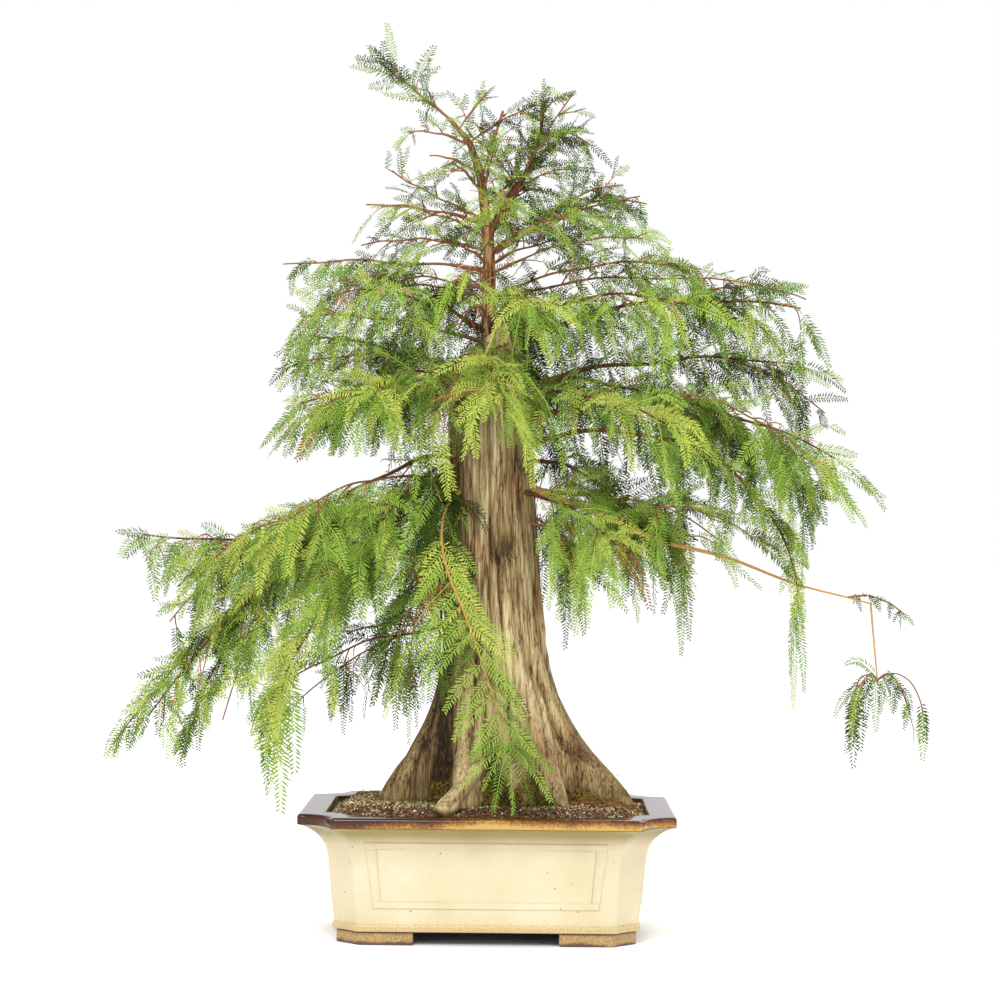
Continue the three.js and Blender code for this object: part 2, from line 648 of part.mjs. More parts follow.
// Side twigs leave the stem left and right in turn, each with a spray at its end, and others leave the stem
function growMass(mass, random) {
  const { spec, stem, tip, end } = mass;
  const { droop } = spec;
  const down = new THREE.Vector3(0, 0, -1);
  const grown = { pieces: [solidFrom(limb(stem, tip, end, STEM_SIDES, STEM_STEPS))], ridges: [] };
  const sprayLength = () => spec.hang * THREE.MathUtils.lerp(SPRAY_SHORT, SPRAY_LONG, random());
  for (let i = 0; i < spec.twigs; i += 1) {
    const share = (i + 0.6) / (spec.twigs + 0.3);
    const base = stem.getPoint(share);
    const along = stem.getTangent(share);
    const aside = new THREE.Vector3(-along.y, along.x, 0).normalize().multiplyScalar(i % 2 ? 1 : -1);
    const lean = new THREE.Vector3().addScaledVector(down, droop)
      .addScaledVector(aside, TWIG_LEAN).addScaledVector(along, 1 - 0.7 * droop);
    const reach = spec.spread * THREE.MathUtils.lerp(0.8, 1.1, random()) * (1 - TWIG_SHRINK * share);
    const finish = base.clone().addScaledVector(along, TWIG_ALONG * reach)
      .addScaledVector(aside, TWIG_ASIDE * reach).addScaledVector(down, TWIG_SAG * reach * droop);
    const twig = new THREE.LineCurve3(base, finish);
    if (isFree(TWIG_TESTS.map((t) => twig.getPoint(t)), mass)) {
      grown.pieces.push(solidFrom(limb(twig, TWIG_RADIUS, TWIG_TIP, STEM_SIDES, 1)));
      addSpray(mass, grown, twig.getPoint(0.97), lean, sprayLength(), random);
    }
    const onStem = stem.getPoint(Math.min(0.9, share + 0.4 / spec.twigs));
    const inward = new THREE.Vector3().addScaledVector(down, droop)
      .addScaledVector(aside, -STEM_LEAN).addScaledVector(along, 0.8 * (1 - droop));
    addSpray(mass, grown, onStem, inward, sprayLength(), random);
  }
  const last = stem.getTangent(1).addScaledVector(down, END_LEAN * droop);
  addSpray(mass, grown, stem.getPoint(0.99), last, spec.hang, random);
  return grown.pieces.reduce((whole, piece) => whole.add(piece));
}

const plant = new THREE.Group();

function addMesh(name, geometry, colour, roughness) {
  const material = new THREE.MeshStandardMaterial({ color: colour, roughness, metalness: 0 });
  const mesh = new THREE.Mesh(geometry, material);
  mesh.name = name;
  plant.add(mesh);
  return mesh;
}

addMesh('pot', makePot(), COLOURS.glaze, 0.25);
['front', 'back'].forEach((depth) => ['left', 'right'].forEach((side) => {
  const foot = makeFoot(side === 'left' ? -1 : 1, depth === 'front' ? -1 : 1);
  addMesh(`pot_foot_${depth}_${side}`, foot, COLOURS.foot, 0.6);
}));
addMesh('soil', makeSoil(), COLOURS.soil, 0.95);
addMesh('trunk', geometryOf(makeTrunk(0)), COLOURS.bark, 0.9);

const trunkRoom = makeTrunk(FIT);

// Cuts a limb clear of what it grows from: the trunk, or another limb
function cutClear(solid, item) {
  if (!item.parent) {
    return solid.subtract(trunkRoom);
  }
  const { spec, whole, tip } = item.parent;
  const room = new LimbCurve(spec, whole.root, 0, spec.bare + FIT / whole.getLength());
  return solid.subtract(solidFrom(limb(room, spec.radius + FIT, tip + FIT, LIMB_SIDES, BOUGH_STEPS)));
}

limbs.filter((item) => item.bough).forEach((item) => {
  const solid = solidFrom(limb(item.bough, item.spec.radius, item.tip, LIMB_SIDES, BOUGH_STEPS));
  const whole = largestPiece(cutClear(solid, item));
  addMesh(`bough_${item.spec.name}`, geometryOf(whole), COLOURS.bough, 0.85);
});

masses.forEach((mass, index) => {
  const grown = growMass(mass, seededRandom(SEED + SEED_STEP * index));
  const solid = mass.bough ? grown : cutClear(grown, mass);
  const whole = largestPiece(solid).simplify(SIMPLIFY);
  addMesh(`mass_${mass.spec.name}`, geometryOf(whole), COLOURS.needles, 0.7);
});

// The origin is at the middle of the whole plant's box, on the level that the feet stand on
const box = new THREE.Box3().setFromObject(plant);
const middle = box.getCenter(new THREE.Vector3());
plant.position.set(-Math.round(middle.x), -Math.round(middle.y), 0);

export default plant;
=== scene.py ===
import json
import math
from functools import partial
from types import SimpleNamespace

import bmesh
import bpy
import numpy as np
from mathutils import Matrix, Vector

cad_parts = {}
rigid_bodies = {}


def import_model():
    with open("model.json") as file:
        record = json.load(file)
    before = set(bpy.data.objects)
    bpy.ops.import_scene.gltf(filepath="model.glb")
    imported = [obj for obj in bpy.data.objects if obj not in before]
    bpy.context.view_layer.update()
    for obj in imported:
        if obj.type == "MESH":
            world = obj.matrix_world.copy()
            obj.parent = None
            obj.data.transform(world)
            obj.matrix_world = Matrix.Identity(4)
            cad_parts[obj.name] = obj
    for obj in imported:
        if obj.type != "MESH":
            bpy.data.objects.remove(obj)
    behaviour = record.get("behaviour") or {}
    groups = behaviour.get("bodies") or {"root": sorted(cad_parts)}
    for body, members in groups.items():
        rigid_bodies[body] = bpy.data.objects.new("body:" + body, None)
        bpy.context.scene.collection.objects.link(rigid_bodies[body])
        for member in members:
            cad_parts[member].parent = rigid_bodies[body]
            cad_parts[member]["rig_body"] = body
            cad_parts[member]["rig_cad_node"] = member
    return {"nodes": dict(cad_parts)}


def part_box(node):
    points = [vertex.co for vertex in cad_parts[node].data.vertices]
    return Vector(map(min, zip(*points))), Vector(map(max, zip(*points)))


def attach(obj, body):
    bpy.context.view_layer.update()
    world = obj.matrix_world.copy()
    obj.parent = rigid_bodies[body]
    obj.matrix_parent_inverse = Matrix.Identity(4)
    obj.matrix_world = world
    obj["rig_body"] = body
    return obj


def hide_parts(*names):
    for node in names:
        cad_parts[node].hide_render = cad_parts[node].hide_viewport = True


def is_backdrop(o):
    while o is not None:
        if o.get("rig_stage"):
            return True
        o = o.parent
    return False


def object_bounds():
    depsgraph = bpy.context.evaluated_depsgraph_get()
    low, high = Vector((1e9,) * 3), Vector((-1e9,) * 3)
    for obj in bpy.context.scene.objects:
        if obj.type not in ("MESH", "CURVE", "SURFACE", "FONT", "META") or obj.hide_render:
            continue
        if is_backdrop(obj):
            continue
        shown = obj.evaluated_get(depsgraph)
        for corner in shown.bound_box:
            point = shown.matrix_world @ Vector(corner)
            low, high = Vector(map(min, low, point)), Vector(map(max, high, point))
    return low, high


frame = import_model()
cad_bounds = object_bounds()

# The looks of a weeping bald cypress bonsai in a glazed pot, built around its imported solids.
# Sizes are millimetres from the middle of the pot, at the level that it stands on.
MM = 0.001
SEED = 20817
UP = np.array([0.0, 0.0, 1.0])
DOWN = np.array([0.0, 0.0, -1.0])

pot_low, pot_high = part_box("pot")
MIDDLE = np.array([(pot_low.x + pot_high.x) / 2, (pot_low.y + pot_high.y) / 2, 0.0])

# Studio: the photo's long lens, 3 m away and a little above the pot, turned slightly left and up
CAMERA_PLACE = (0.035, -2.98, 0.442)
CAMERA_LENS = 98.1
CAMERA_SENSOR = 36
CAMERA_TURN = 0.482
CAMERA_TILT = 90.554
CAMERA_ROLL = 0.5
LAMP_TARGET = 0.5
# Lamps: name, place and size in metres, and power
LAMPS = [
    ("key", (-1.0, -3.1, 3.0), 1.8, 104),
    ("fill", (2.2, -2.7, 1.9), 2.2, 26),
    ("back", (0.9, 2.8, 2.6), 2.0, 26),
]

# Pot
POT_WIDTH = (pot_high.x - pot_low.x) / MM
POT_DEPTH = (pot_high.y - pot_low.y) / MM
POT_TOP = pot_high.z / MM
POT_BOTTOM = pot_low.z / MM
RIM_BAND = 11
RIM_LAND = 28
RIM_NOTCH = 38
RIM_EASE = 3.5
BAND_EASE = 1.2
MOUTH_EASE = 2
BASE_INSET = 39
BASE_CHAMFER = 25
BASE_BEAD = 8
BEAD_PROUD = 2
BEAD_ROUND = 1.8
WALL_BATTER = 0.09
FLARE_START = 90
FLARE_RADIUS = 37.5
BASE_HOLLOW = 0.3
LAND_HOLLOW = 0.6
MOUTH_HOLLOW = 0.35
CORNER_STEPS = 10
FLARE_STEPS = 9
ARRIS_EASE = 3.2
ARRIS_STEPS = 4
PANEL_LOW = 40
PANEL_HIGH = 109
PANEL_SIDE_LOW = 18
PANEL_SIDE_HIGH = 9
FRAME_BOTTOM = 5.6
FRAME_TOP = 6
FRAME_SIDE_LOW = 8.5
FRAME_SIDE_HIGH = 11.5
FRAME_PROUD = 1.7
FRAME_EDGE = 1.4
FOOT_EASE = 1.6
SHARP_ON_POT = 38
SHARP_ON_FOOT = 40
BAND_BOTTOM = POT_TOP - RIM_BAND
BASE_HALF_X = POT_WIDTH / 2 - BASE_INSET
BASE_HALF_Y = POT_DEPTH / 2 - BASE_INSET

# Soil
SOIL_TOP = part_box("soil")[1].z / MM
SOIL_EDGE = 130.5
SOIL_BLEND = 30
SOIL_GRID = 150
GRAINS = 11000
LUMPS = 260
# Stones: name, colour, roughness and share
STONES = [
    ("grit_tan", "#A88A5C", 0.8, 0.32),
    ("grit_brick", "#9A6238", 0.85, 0.13),
    ("grit_pale", "#DCD0B4", 0.75, 0.15),
    ("grit_dark", "#3A2A1C", 0.9, 0.22),
    ("grit_green", "#747440", 0.85, 0.18),
]
DARK_STONE = 3
# Where the soil is damp and its stones dark, in front of the trunk: middle and how far that reaches
DAMP_X, DAMP_Y = 6, -108
DAMP_WIDTH, DAMP_DEPTH = 52, 34
DAMP_SHARE = 0.6
MOSS_TUFTS = 6500
MOSS_ON_BARK = 0.45
MOSS_DARK = 0.45
ROOT_FIBRES = 60
FIBRES_X, FIBRES_Y = 128, -48
FIBRE_POINTS = 7

# Trunk, close to the solids' source, with its edges matched to the photo's
TRUNK_RADIUS = 45
TRUNK_TAPER = 0.03
TRUNK_SHOULDER = 545
CHOP_HEIGHT = 650
CHOP_RADIUS = 25
SHOULDER_POWER = 1.6
CHOP_SLOPE = 0.8
CHOP_BLEND = 70
TRUNK_FOOT_X = 17
TRUNK_TOP_X = -4.5
TRUNK_BEND = 188
FLARE_HEIGHT = 78
FLARE_POWER = 1.5
HOLLOW = 12
HOLLOW_END = 40
RIBS = 5
RIB_DEPTH = 0.035
# Roots: direction, reach and half width
ROOTS = [
    (352, 84, 20), (316, 42, 16), (284, 34, 15), (242, 50, 15), (183, 80, 19),
    (146, 56, 20), (104, 46, 20), (62, 58, 20), (25, 46, 16),
]
# Flutes with painted shade, where the valleys between the roots are dark with shade and some dirt: direction,
# half width, depth of shade and height
DARK_FLUTES = [
    (215, 14, 0.42, 190), (262, 9, 0.28, 90), (300, 9, 0.2, 70), (334, 5, 0.16, 90), (190, 10, 0.16, 420),
]
TRUNK_COLUMNS = 400
TRUNK_ROWS = 240
# A root in front of the trunk, as places along it and its radii
SURFACE_ROOT = [(3, -44, 216), (-8, -62, 192), (-23, -84, 167), (-37, -101, 150), (-50, -111, 138)]
SURFACE_ROOT_RADII = [4, 7, 9, 10, 8.5]
SURFACE_ROOT_STEPS = 44
SURFACE_ROOT_SIDES = 28
CRACK_DEPTH = 3.4
SPLIT_DEPTH = 1.5
TRUNK_SUNK = 6
SCAR_RINGS = 14

# Leader, as height and offset to the right
LEADER = [(628, -3.4), (681, -4), (752, -5), (820, -13), (861, -26), (888, -49)]
LEADER_RADIUS = 9.5
LEADER_TIP = 2.2
LEADER_STEPS = 90
LEADER_SIDES = 40


def limb(name, stem, azimuth, reach, end, arch, radius, spread=0, hang=0, tone=0.5, needle=12, droop=1,
         clear=62, swing=0, weep=1, bare=0, form="mass", free=False, pale=False):
    """A limb from the trunk at height stem, or from another limb at a share of its way: its direction, how
    far it reaches, the height of its end, its rise between and its radius. Then the lengths of its twigs,
    shoots and needles, its tone from 0, dark, to 1, lime, which is the needles' own colour with painted light
    and shade, lower for limbs at the back, how much its shoots droop, how far from the trunk its leaves
    begin, how it swings aside and weeps, and the share of it that stays bare."""
    free = free or form != "mass"
    return SimpleNamespace(**locals())


# Limbs of the solids' source. Their shoots are a little shorter here, and eight of the limbs keep closer to
# the photo.
LIMBS = [
    limb("left_low", 498, 186, 368, 236, 62, 9, 66, 80, 0.66, 11, swing=4, bare=0.36),
    limb("left_sweep", 532, 172, 382, 430, -42, 7.5, 64, 80, 0.55, swing=4, bare=0.34),
    limb("left_fall", 470, 203, 262, 250, 66, 6.5, 52, 130, 0.62, swing=6, bare=0.4),
    limb("left_arch", 325, 178, 238, 262, 26, 3.6, 34, 60, 0.08, bare=0.6),
    limb("left_inner", 508, 222, 165, 410, 40, 5, 52, 120, swing=-8),
    limb("front_fall", 492, 214, 142, 214, 56, 3.6, 7, 58, 0.6, 11.5, swing=66, weep=2.4, bare=0.42,
         form="frond"),
    limb("right_low", 502, 356, 417, 361, -8, 7.5, swing=4, bare=1, pale=True),
    limb("right_tail", ("right_low", 1), 0, 8, 277, 0, 2.4, bare=1, pale=True),
    limb("right_tuft", ("right_tail", 1), 0, 36, 240, 22, 2.2, 6, 42, 0.3, 8.5, 1.6, free=True),
    limb("right_tip", ("right_low", 0.94), 4, 62, 350, 9, 2.2, 8, 20, 0.2, 6, free=True),
    limb("right_drop", 478, 12, 236, 428, 22, 6, 58, 112, 0.64, 10.5),
    limb("right_inner", 474, 328, 158, 424, 22, 5, 50, 104, 0.66, 10.5),
    limb("right_column", 516, 346, 336, 372, 88, 6, 24, 76, 0.6, 10, swing=10, weep=1.5, bare=0.4),
    limb("right_mid", 541, 2, 382, 520, 48, 8, 66, 104, 0.42, 10, swing=2, bare=0.4),
    limb("right_front", 566, 314, 250, 546, 28, 5.5, 60, 104, 0.58, 10.5, swing=6),
    limb("right_fork", 584, 14, 356, 628, 20, 7, 62, 94, 0.36, 9.5, swing=2, bare=0.36),
    limb("left_mid", 562, 190, 206, 574, 20, 6.5, 60, 96, 0.52, 10, swing=-4, bare=0.34),
    limb("left_upper", 600, 168, 206, 652, 8, 6, 56, 84, 0.48, 9.5, bare=0.34),
    limb("left_front", 588, 226, 196, 578, 24, 5, 56, 94, 0.55, 10.5, swing=2),
    limb("front_mid", 604, 268, 216, 566, 34, 5, 54, 88, 0.6, 11, swing=4),
    limb("right_high", 636, 2, 346, 686, 26, 6.5, 64, 88, 0.42, 9.5, swing=4, bare=0.3),
    limb("right_shoulder", 646, 326, 244, 676, 26, 5, 60, 90, 0.52, 10, swing=4),
    limb("front_high", 650, 286, 184, 668, 26, 4.5, 54, 84, 0.55, 10),
    limb("left_crown", 652, 222, 176, 690, 12, 4.5, 52, 78, 0.5, 9.5),
    limb("left_shoot", 722, 178, 226, 728, 6, 3.2, 26, 46, 0.36, 9),
    limb("back_low_right", 504, 52, 302, 424, 44, 7, 66, 108, 0.5, 10.5, bare=0.36),
    limb("back_low", 496, 96, 276, 408, 44, 6.5, 62, 108, 0.34, 10.5),
    limb("back_low_left", 512, 142, 300, 404, 44, 7, 66, 108, 0.34, 10.5, bare=0.36),
    limb("back_mid_right", 580, 40, 306, 566, 34, 6.5, 64, 108, 0.32),
    limb("back_mid", 590, 84, 288, 560, 34, 6, 62, 105, 0.36),
    limb("back_mid_left", 584, 128, 276, 576, 30, 6, 60, 105, 0.36),
    limb("back_high", 648, 80, 250, 684, 24, 5, 58, 95, 0.4),
    limb("top_plume", 888, 180, 78, 950, 0, 2.4, 34, 60, 0.24, 11, 0.2, 10),
    limb("top_left", 772, 184, 132, 792, 6, 3, 52, 48, 0.35, 8.5, 0.5, 14),
    limb("top_right", 762, 344, 60, 900, 10, 8.5, 48, 44, 0.25, 8.5, 0.2, 30, swing=16, weep=2.2),
    limb("top_right_side", 738, 4, 166, 806, 10, 3.6, 52, 62, 0.32, 9, 0.6, 20),
    limb("top_front", 746, 280, 118, 782, 10, 3.2, 48, 58, 0.5, 9, 0.7, 16),
    limb("top_back", 758, 78, 128, 808, 10, 3.2, 50, 60, 0.25, 9, 0.7, 16),
]
# Finer limbs that fill the crown between those
FINE_LIMBS = [
    limb("tip_left", 858, 186, 70, 872, 6, 1.8, 26, 40, 0.35, 7.5, 0.35, 8),
    limb("tip_right", 862, 12, 74, 906, 4, 1.6, 24, 40, 0.2, 8.5, 0.2, 8),
    limb("tip_middle", 822, 16, 24, 898, 0, 1.8, 28, 38, 0.35, 7.5, 0.1, 8),
    limb("high_left_tip", 776, 174, 104, 832, 4, 2.4, 34, 44, 0.35, 8, 0.1, 10, weep=1.4),
    limb("high_left_bend", 756, 202, 124, 786, 10, 2.2, 40, 48, 0.4, 8, 0.4, 12),
    limb("high_left_low", 742, 166, 146, 752, 10, 2.2, 44, 52, 0.3, 8.5, 0.5, 14),
    limb("high_front_left", 726, 238, 122, 742, 12, 2.2, 44, 56, 0.5, 8.5, 0.6, 14),
    limb("shoulder_left", 700, 192, 166, 706, 10, 2.4, 46, 62, 0.42, 9, 0.7, 22),
    limb("shoulder_left_back", 690, 158, 178, 702, 12, 2.4, 46, 62, 0.3, 9, 0.7, 22),
    limb("right_fork_top", ("top_right", 0.5), 20, 46, 916, 8, 2, 36, 44, 0.3, 8, 0.25, swing=-10, weep=1.2),
    limb("right_fork_back", ("top_right", 0.3), 48, 70, 870, 8, 2, 38, 46, 0.2, 8, 0.3),
    limb("right_fork_front", ("top_right", 0.35), 300, 66, 862, 8, 2, 38, 46, 0.36, 8, 0.4),
    limb("right_fork_side", ("top_right_side", 0.25), 350, 106, 818, 12, 2, 44, 50, 0.3, 8.5, 0.35, swing=14),
    limb("right_fork_long", ("top_right_side", 0.4), 30, 112, 800, 14, 2, 46, 56, 0.22, 8.5, 0.6, swing=-14),
    limb("high_right_front", 740, 318, 142, 772, 12, 2.4, 46, 58, 0.5, 8.5, 0.6, 16),
    limb("high_right_back", 726, 44, 150, 764, 12, 2.4, 46, 60, 0.24, 8.5, 0.6, 16),
    limb("shoulder_right", 690, 346, 232, 722, 20, 3, 54, 76, 0.5, 9.5, 0.8, 26, swing=6),
    limb("shoulder_right_top", 690, 14, 296, 712, 16, 3, 54, 74, 0.3, 9.5, 0.75, 60, swing=-8),
    limb("shoulder_right_tip", ("right_high", 0.6), 8, 144, 696, 16, 2, 40, 70, 0.2, 9, 0.8),
    limb("shoulder_front", 690, 262, 150, 706, 18, 2.6, 48, 74, 0.62, 9.5, 0.8, 26),
    limb("shoulder_back", 690, 104, 186, 712, 18, 2.6, 50, 74, 0.24, 9.5, 0.8, 26),
    limb("middle_left_top", 640, 182, 206, 668, 12, 2.6, 46, 76, 0.55, 10, 0.9, 44, swing=6),
    limb("middle_left_tip", ("left_mid", 0.4), 204, 120, 560, 14, 2.2, 40, 84, 0.58),
    limb("drape_front", 628, 286, 96, 560, 34, 2.4, 46, 88, 0.62, 11, 1, 40, weep=1.8),
    limb("drape_left", 612, 240, 116, 540, 30, 2.4, 44, 86, 0.55, 11, 1, 46, weep=1.6),
    limb("low_left_shoulder", ("left_low", 0.16), 214, 196, 438, 24, 2.6, 56, 104, 0.62, 11),
    limb("low_left_fan", ("left_low", 0.42), 176, 168, 384, 26, 2.4, 50, 92, 0.6, 11, swing=8),
    limb("low_left_tassel", ("left_low", 0.5), 194, 42, 284, 14, 2, 0, 150, 0.5, 19, weep=1.7, form="tassel"),
    limb("arch_drop", ("left_arch", 0.42), 190, 6, 312, 1, 1.2, 0, 92, 0.4, 10, form="tassel"),
    limb("arch_drop_far", ("left_arch", 0.66), 190, 6, 290, 1, 1.2, 0, 76, 0.3, 9, form="tassel"),
    limb("column_drop", ("right_inner", 0.5), 340, 18, 400, 2, 1.2, 0, 88, 0.5, 10, form="tassel"),
    limb("column_tip", ("right_column", 1), 180, 4, 366, 1, 1.2, 0, 118, 0.55, 9, form="tassel"),
    limb("right_low_tassel", ("right_low", 0.49), 350, 6, 400, 2, 1.6, 0, 96, 0.4, 9, form="tassel"),
    limb("low_left_out", ("left_low", 0.76), 184, 126, 204, 10, 2, 40, 76, 0.55, 11),
    limb("low_left_down", ("left_low", 0.6), 206, 72, 232, 18, 2, 38, 84, 0.5, 11),
    limb("low_left_back", ("left_low", 0.66), 162, 90, 214, 18, 2, 38, 84, 0.3, 10),
    limb("sweep_left_down", ("left_sweep", 0.62), 184, 116, 334, 14, 2, 42, 86, 0.5, 10.5),
    limb("inner_left_drop", ("left_inner", 0.3), 196, 54, 326, 14, 2, 44, 104, 0.36, 11),
    limb("inner_left_tail", 452, 196, 104, 318, 26, 2.4, 42, 96, 0.3, 11, 1, 52),
    limb("inner_right_drop", 462, 350, 104, 408, 16, 2.4, 40, 92, 0.54, 11, 1, 52),
    limb("inner_left_low", 440, 204, 92, 306, 34, 2.2, 40, 88, 0.42, 11, 1, 50, weep=1.6),
    limb("inner_left_back", 446, 164, 104, 318, 30, 2.2, 40, 88, 0.3, 10.5, 1, 50, weep=1.6),
    limb("column_right", 448, 334, 100, 398, 18, 2.2, 34, 92, 0.6, 10.5, 1, 50, weep=1.6),
    limb("column_right_back", 446, 26, 104, 396, 20, 2.2, 38, 92, 0.44, 10.5, 1, 50, weep=1.6),
    limb("trunk_left_drop", 466, 232, 86, 332, 40, 2, 9, 52, 0.4, 10, weep=2, bare=0.5, form="frond"),
    limb("trunk_left_edge", 452, 214, 64, 300, 40, 2, 9, 44, 0.3, 10, weep=2, bare=0.5, form="frond"),
    limb("tip_inner_front", 800, 214, 44, 836, 8, 1.8, 34, 44, 0.4, 8, 0.5, 8),
    limb("fork_inner_right", ("top_right", 0.7), 350, 56, 858, 10, 1.8, 34, 44, 0.3, 8, 0.4),
    limb("shoulder_right_fill", 716, 340, 176, 752, 14, 2.2, 44, 54, 0.42, 8.5, 0.6, 18),
    limb("tuft_left", ("right_tail", 1), 182, 20, 262, 14, 1.6, 6, 82, 0.22, 9.5, 1.6, free=True),
    limb("tuft_left_far", ("right_tail", 1), 184, 26, 254, 16, 1.2, 0, 70, 0.2, 13, weep=1.5, form="tassel"),
    limb("tuft_right_far", ("right_tail", 1), 0, 50, 242, 22, 1.2, 0, 50, 0.3, 10, weep=1.3, form="tassel"),
    limb("plume_right", 876, 14, 32, 918, 2, 1.4, 22, 34, 0.3, 8, 0.3, 6),
    limb("tip_between", ("top_right", 0.3), 186, 54, 868, 8, 1.8, 34, 44, 0.3, 8, 0.3),
    limb("tip_front", 802, 282, 52, 842, 8, 1.8, 34, 46, 0.4, 8, 0.3, 8),
    limb("tip_low_right", 790, 10, 66, 838, 8, 1.8, 36, 48, 0.3, 8, 0.3, 8),
    limb("tip_low_left", 826, 190, 56, 846, 6, 1.8, 32, 44, 0.35, 8, 0.3, 8),
    limb("arch_twig", ("left_arch", 0.42), 196, 116, 250, 8, 1.6, 24, 66, 0.1, 8.5),
    limb("arch_top", ("left_arch", 0.3), 160, 96, 322, 8, 1.6, 26, 76, 0.1, 9),
    limb("low_right_front", ("right_low", 0.32), 334, 150, 436, 22, 2.2, 44, 104, 0.6, 11, swing=14),
    limb("low_right_back", ("right_low", 0.24), 24, 168, 430, 22, 2.2, 46, 104, 0.38, 10.5),
    limb("mid_right_front", ("right_mid", 0.4), 336, 210, 508, 34, 2.6, 52, 100, 0.55, 10.5, swing=12),
    limb("mid_right_tip", ("right_mid", 0.6), 352, 132, 462, 18, 2, 36, 92, 0.34, 9),
    limb("crown_left_near", 676, 206, 72, 664, 16, 2, 40, 56, 0.45, 9, 0.8, 20),
    limb("crown_front_left", 668, 238, 62, 652, 20, 2, 36, 50, 0.4, 9, 0.9, 22),
    limb("fork_low_back", ("top_right", 0.16), 40, 46, 814, 6, 1.6, 34, 44, 0.1, 8, 0.5),
    limb("left_between", 606, 184, 204, 620, 14, 2.4, 40, 62, 0.5, 9.5, 0.9),
    limb("inner_left_tassel", ("inner_left_tail", 0.95), 0, 9, 304, 1, 1.2, 0, 98, 0.35, 9.5, form="tassel"),
    limb("shoulder_right_low", ("right_high", 0.62), 4, 96, 654, 14, 2, 36, 56, 0.4, 9, 0.9),
    limb("fork_low_front", ("top_right", 0.25), 330, 70, 828, 8, 1.8, 36, 46, 0.3, 8, 0.4),
    limb("far_right_tip", ("right_fork", 0.68), 6, 144, 572, 16, 2, 38, 80, 0.26, 9),
]
STEM_TIP = 0.8
STEM_TAPER = 0.7
BOUGH_SHARE = 0.56
BOUGH_SIDES = 12
STEM_SIDES = 8
BOUGH_STEPS = 40
COLLAR = 0.8
COLLAR_WIDTH = 14

# Foliage
# Needle colours from dark to light. A spray's tone picks one, and paints light and shade as well as the
# needles' own colour: lighter where the crown is lit, darker inside it and at the back.
NEEDLE_COLOURS = [
    ("shade", "#2A3312"), ("deep", "#43561C"), ("mid", "#66812E"), ("fresh", "#86A543"), ("lime", "#ABB652"),
]
TONES = [0.14, 0.34, 0.58, 0.84]
MID_TONE = 2
RUST_SHARE = 0.012
# Painted shade inside the crown: how far from the trunk it reaches, and the heights between which it falls
INNER_REACH = 85
INNER_LOW, INNER_HIGH = 440, 760
TWIG_PITCH = 15
SHOOT_PITCH = 13.5
SIDE_PITCH = 18
TWIG_STEPS = 7
COMPOUND = 64
SHORTEST_FEATHER = 34
FEATHER_CUT = 0.66
SHORTEST_TWIG = 24
TWIG_CUT = 0.6
TRUNK_CLEAR = 4
MOST_FACES = 190000
# Feathers of a tassel: where on its stem, aside and share of its length
TASSEL = [(1.0, 0, 1.0), (0.9, 3, 0.86), (0.96, -1, 0.7)]
# Feathers of the fan at a frond's end: angle from straight down and share of its length
FAN = [(-78, 0.8), (-56, 1.2), (-34, 1.0), (-14, 1.3), (6, 1.3), (28, 1.2), (46, 1.35), (70, 1.0)]

# How far the crown reaches to its left and right at each height, and how low it hangs along its width
CROWN_SIDES = [
    (120, -270, 120), (150, -345, 480), (172, -412, 486), (196, -420, 488), (250, -392, 470),
    (300, -374, 450), (350, -362, 436), (388, -374, 420), (402, -408, 418), (444, -412, 422),
    (452, -340, 432), (458, -280, 436), (468, -200, 438), (482, -150, 436), (492, -96, 432),
    (504, -76, 424), (514, -225, 418), (526, -264, 412), (560, -260, 410), (600, -256, 403),
    (660, -232, 379), (712, -220, 352), (728, -226, 316), (738, -150, 238), (756, -146, 200),
    (800, -122, 166), (842, -118, 156), (852, -110, 146), (890, -108, 120), (906, -152, 112),
    (948, -150, 102), (970, -140, -54), (1000, -134, -62),
]
CROWN_SKIRT = [
    (-430, 172), (-395, 190), (-372, 214), (-352, 186), (-328, 166), (-300, 226), (-262, 222), (-244, 130),
    (-216, 176), (-204, 198), (-186, 236), (-170, 204), (-150, 240), (-138, 228), (-106, 200), (-84, 240),
    (-70, 130), (50, 130), (64, 300), (82, 322), (106, 316), (126, 356), (166, 322), (190, 340), (212, 284),
    (232, 350), (288, 362), (306, 350), (324, 334), (330, 256), (344, 256), (350, 392), (362, 446),
    (378, 446), (388, 424), (414, 424), (424, 450), (600, 450),
]
# Sky that shows through the crown: middle across and up, then half width and half height
SKY_GAPS = [
    (-142, 539, 17, 15), (-128, 506, 20, 9), (-180, 508, 28, 11), (-120, 500, 18, 11), (-98, 488, 30, 14),
    (-212, 482, 24, 12), (-300, 450, 42, 13), (-338, 432, 22, 12), (-284, 436, 20, 10), (-60, 316, 12, 14),
    (-350, 322, 24, 18), (-150, 300, 16, 20), (-84, 316, 13, 20), (-304, 282, 16, 10), (-196, 258, 24, 22),
    (-214, 232, 12, 22), (-284, 232, 20, 12), (-86, 314, 24, 30), (-366, 222, 14, 10), (-240, 566, 16, 18),
    (-232, 656, 18, 16), (-132, 765, 14, 26), (-175, 738, 42, 8), (-66, 858, 28, 22), (-107, 815, 14, 24),
    (-52, 710, 28, 12), (-60, 740, 10, 24), (70, 712, 20, 12), (118, 716, 18, 12), (54, 738, 26, 18),
    (270, 716, 36, 9), (352, 676, 12, 24), (302, 557, 34, 18), (138, 616, 18, 12), (158, 478, 14, 10),
    (186, 554, 16, 12), (180, 372, 12, 14), (118, 360, 10, 12), (236, 420, 14, 30), (282, 414, 15, 28),
    (334, 662, 22, 14), (362, 598, 16, 12), (250, 384, 24, 13), (240, 352, 14, 26), (385, 446, 12, 24),
    (-74, 840, 16, 8), (-96, 802, 12, 8), (-62, 784, 12, 10), (-30, 722, 20, 14), (30, 938, 18, 18),
    (25, 900, 16, 14), (85, 930, 16, 12), (160, 690, 18, 12), (372, 538, 22, 12), (400, 496, 10, 14),
    (244, 612, 14, 14), (60, 470, 10, 18), (168, 822, 20, 18),
]
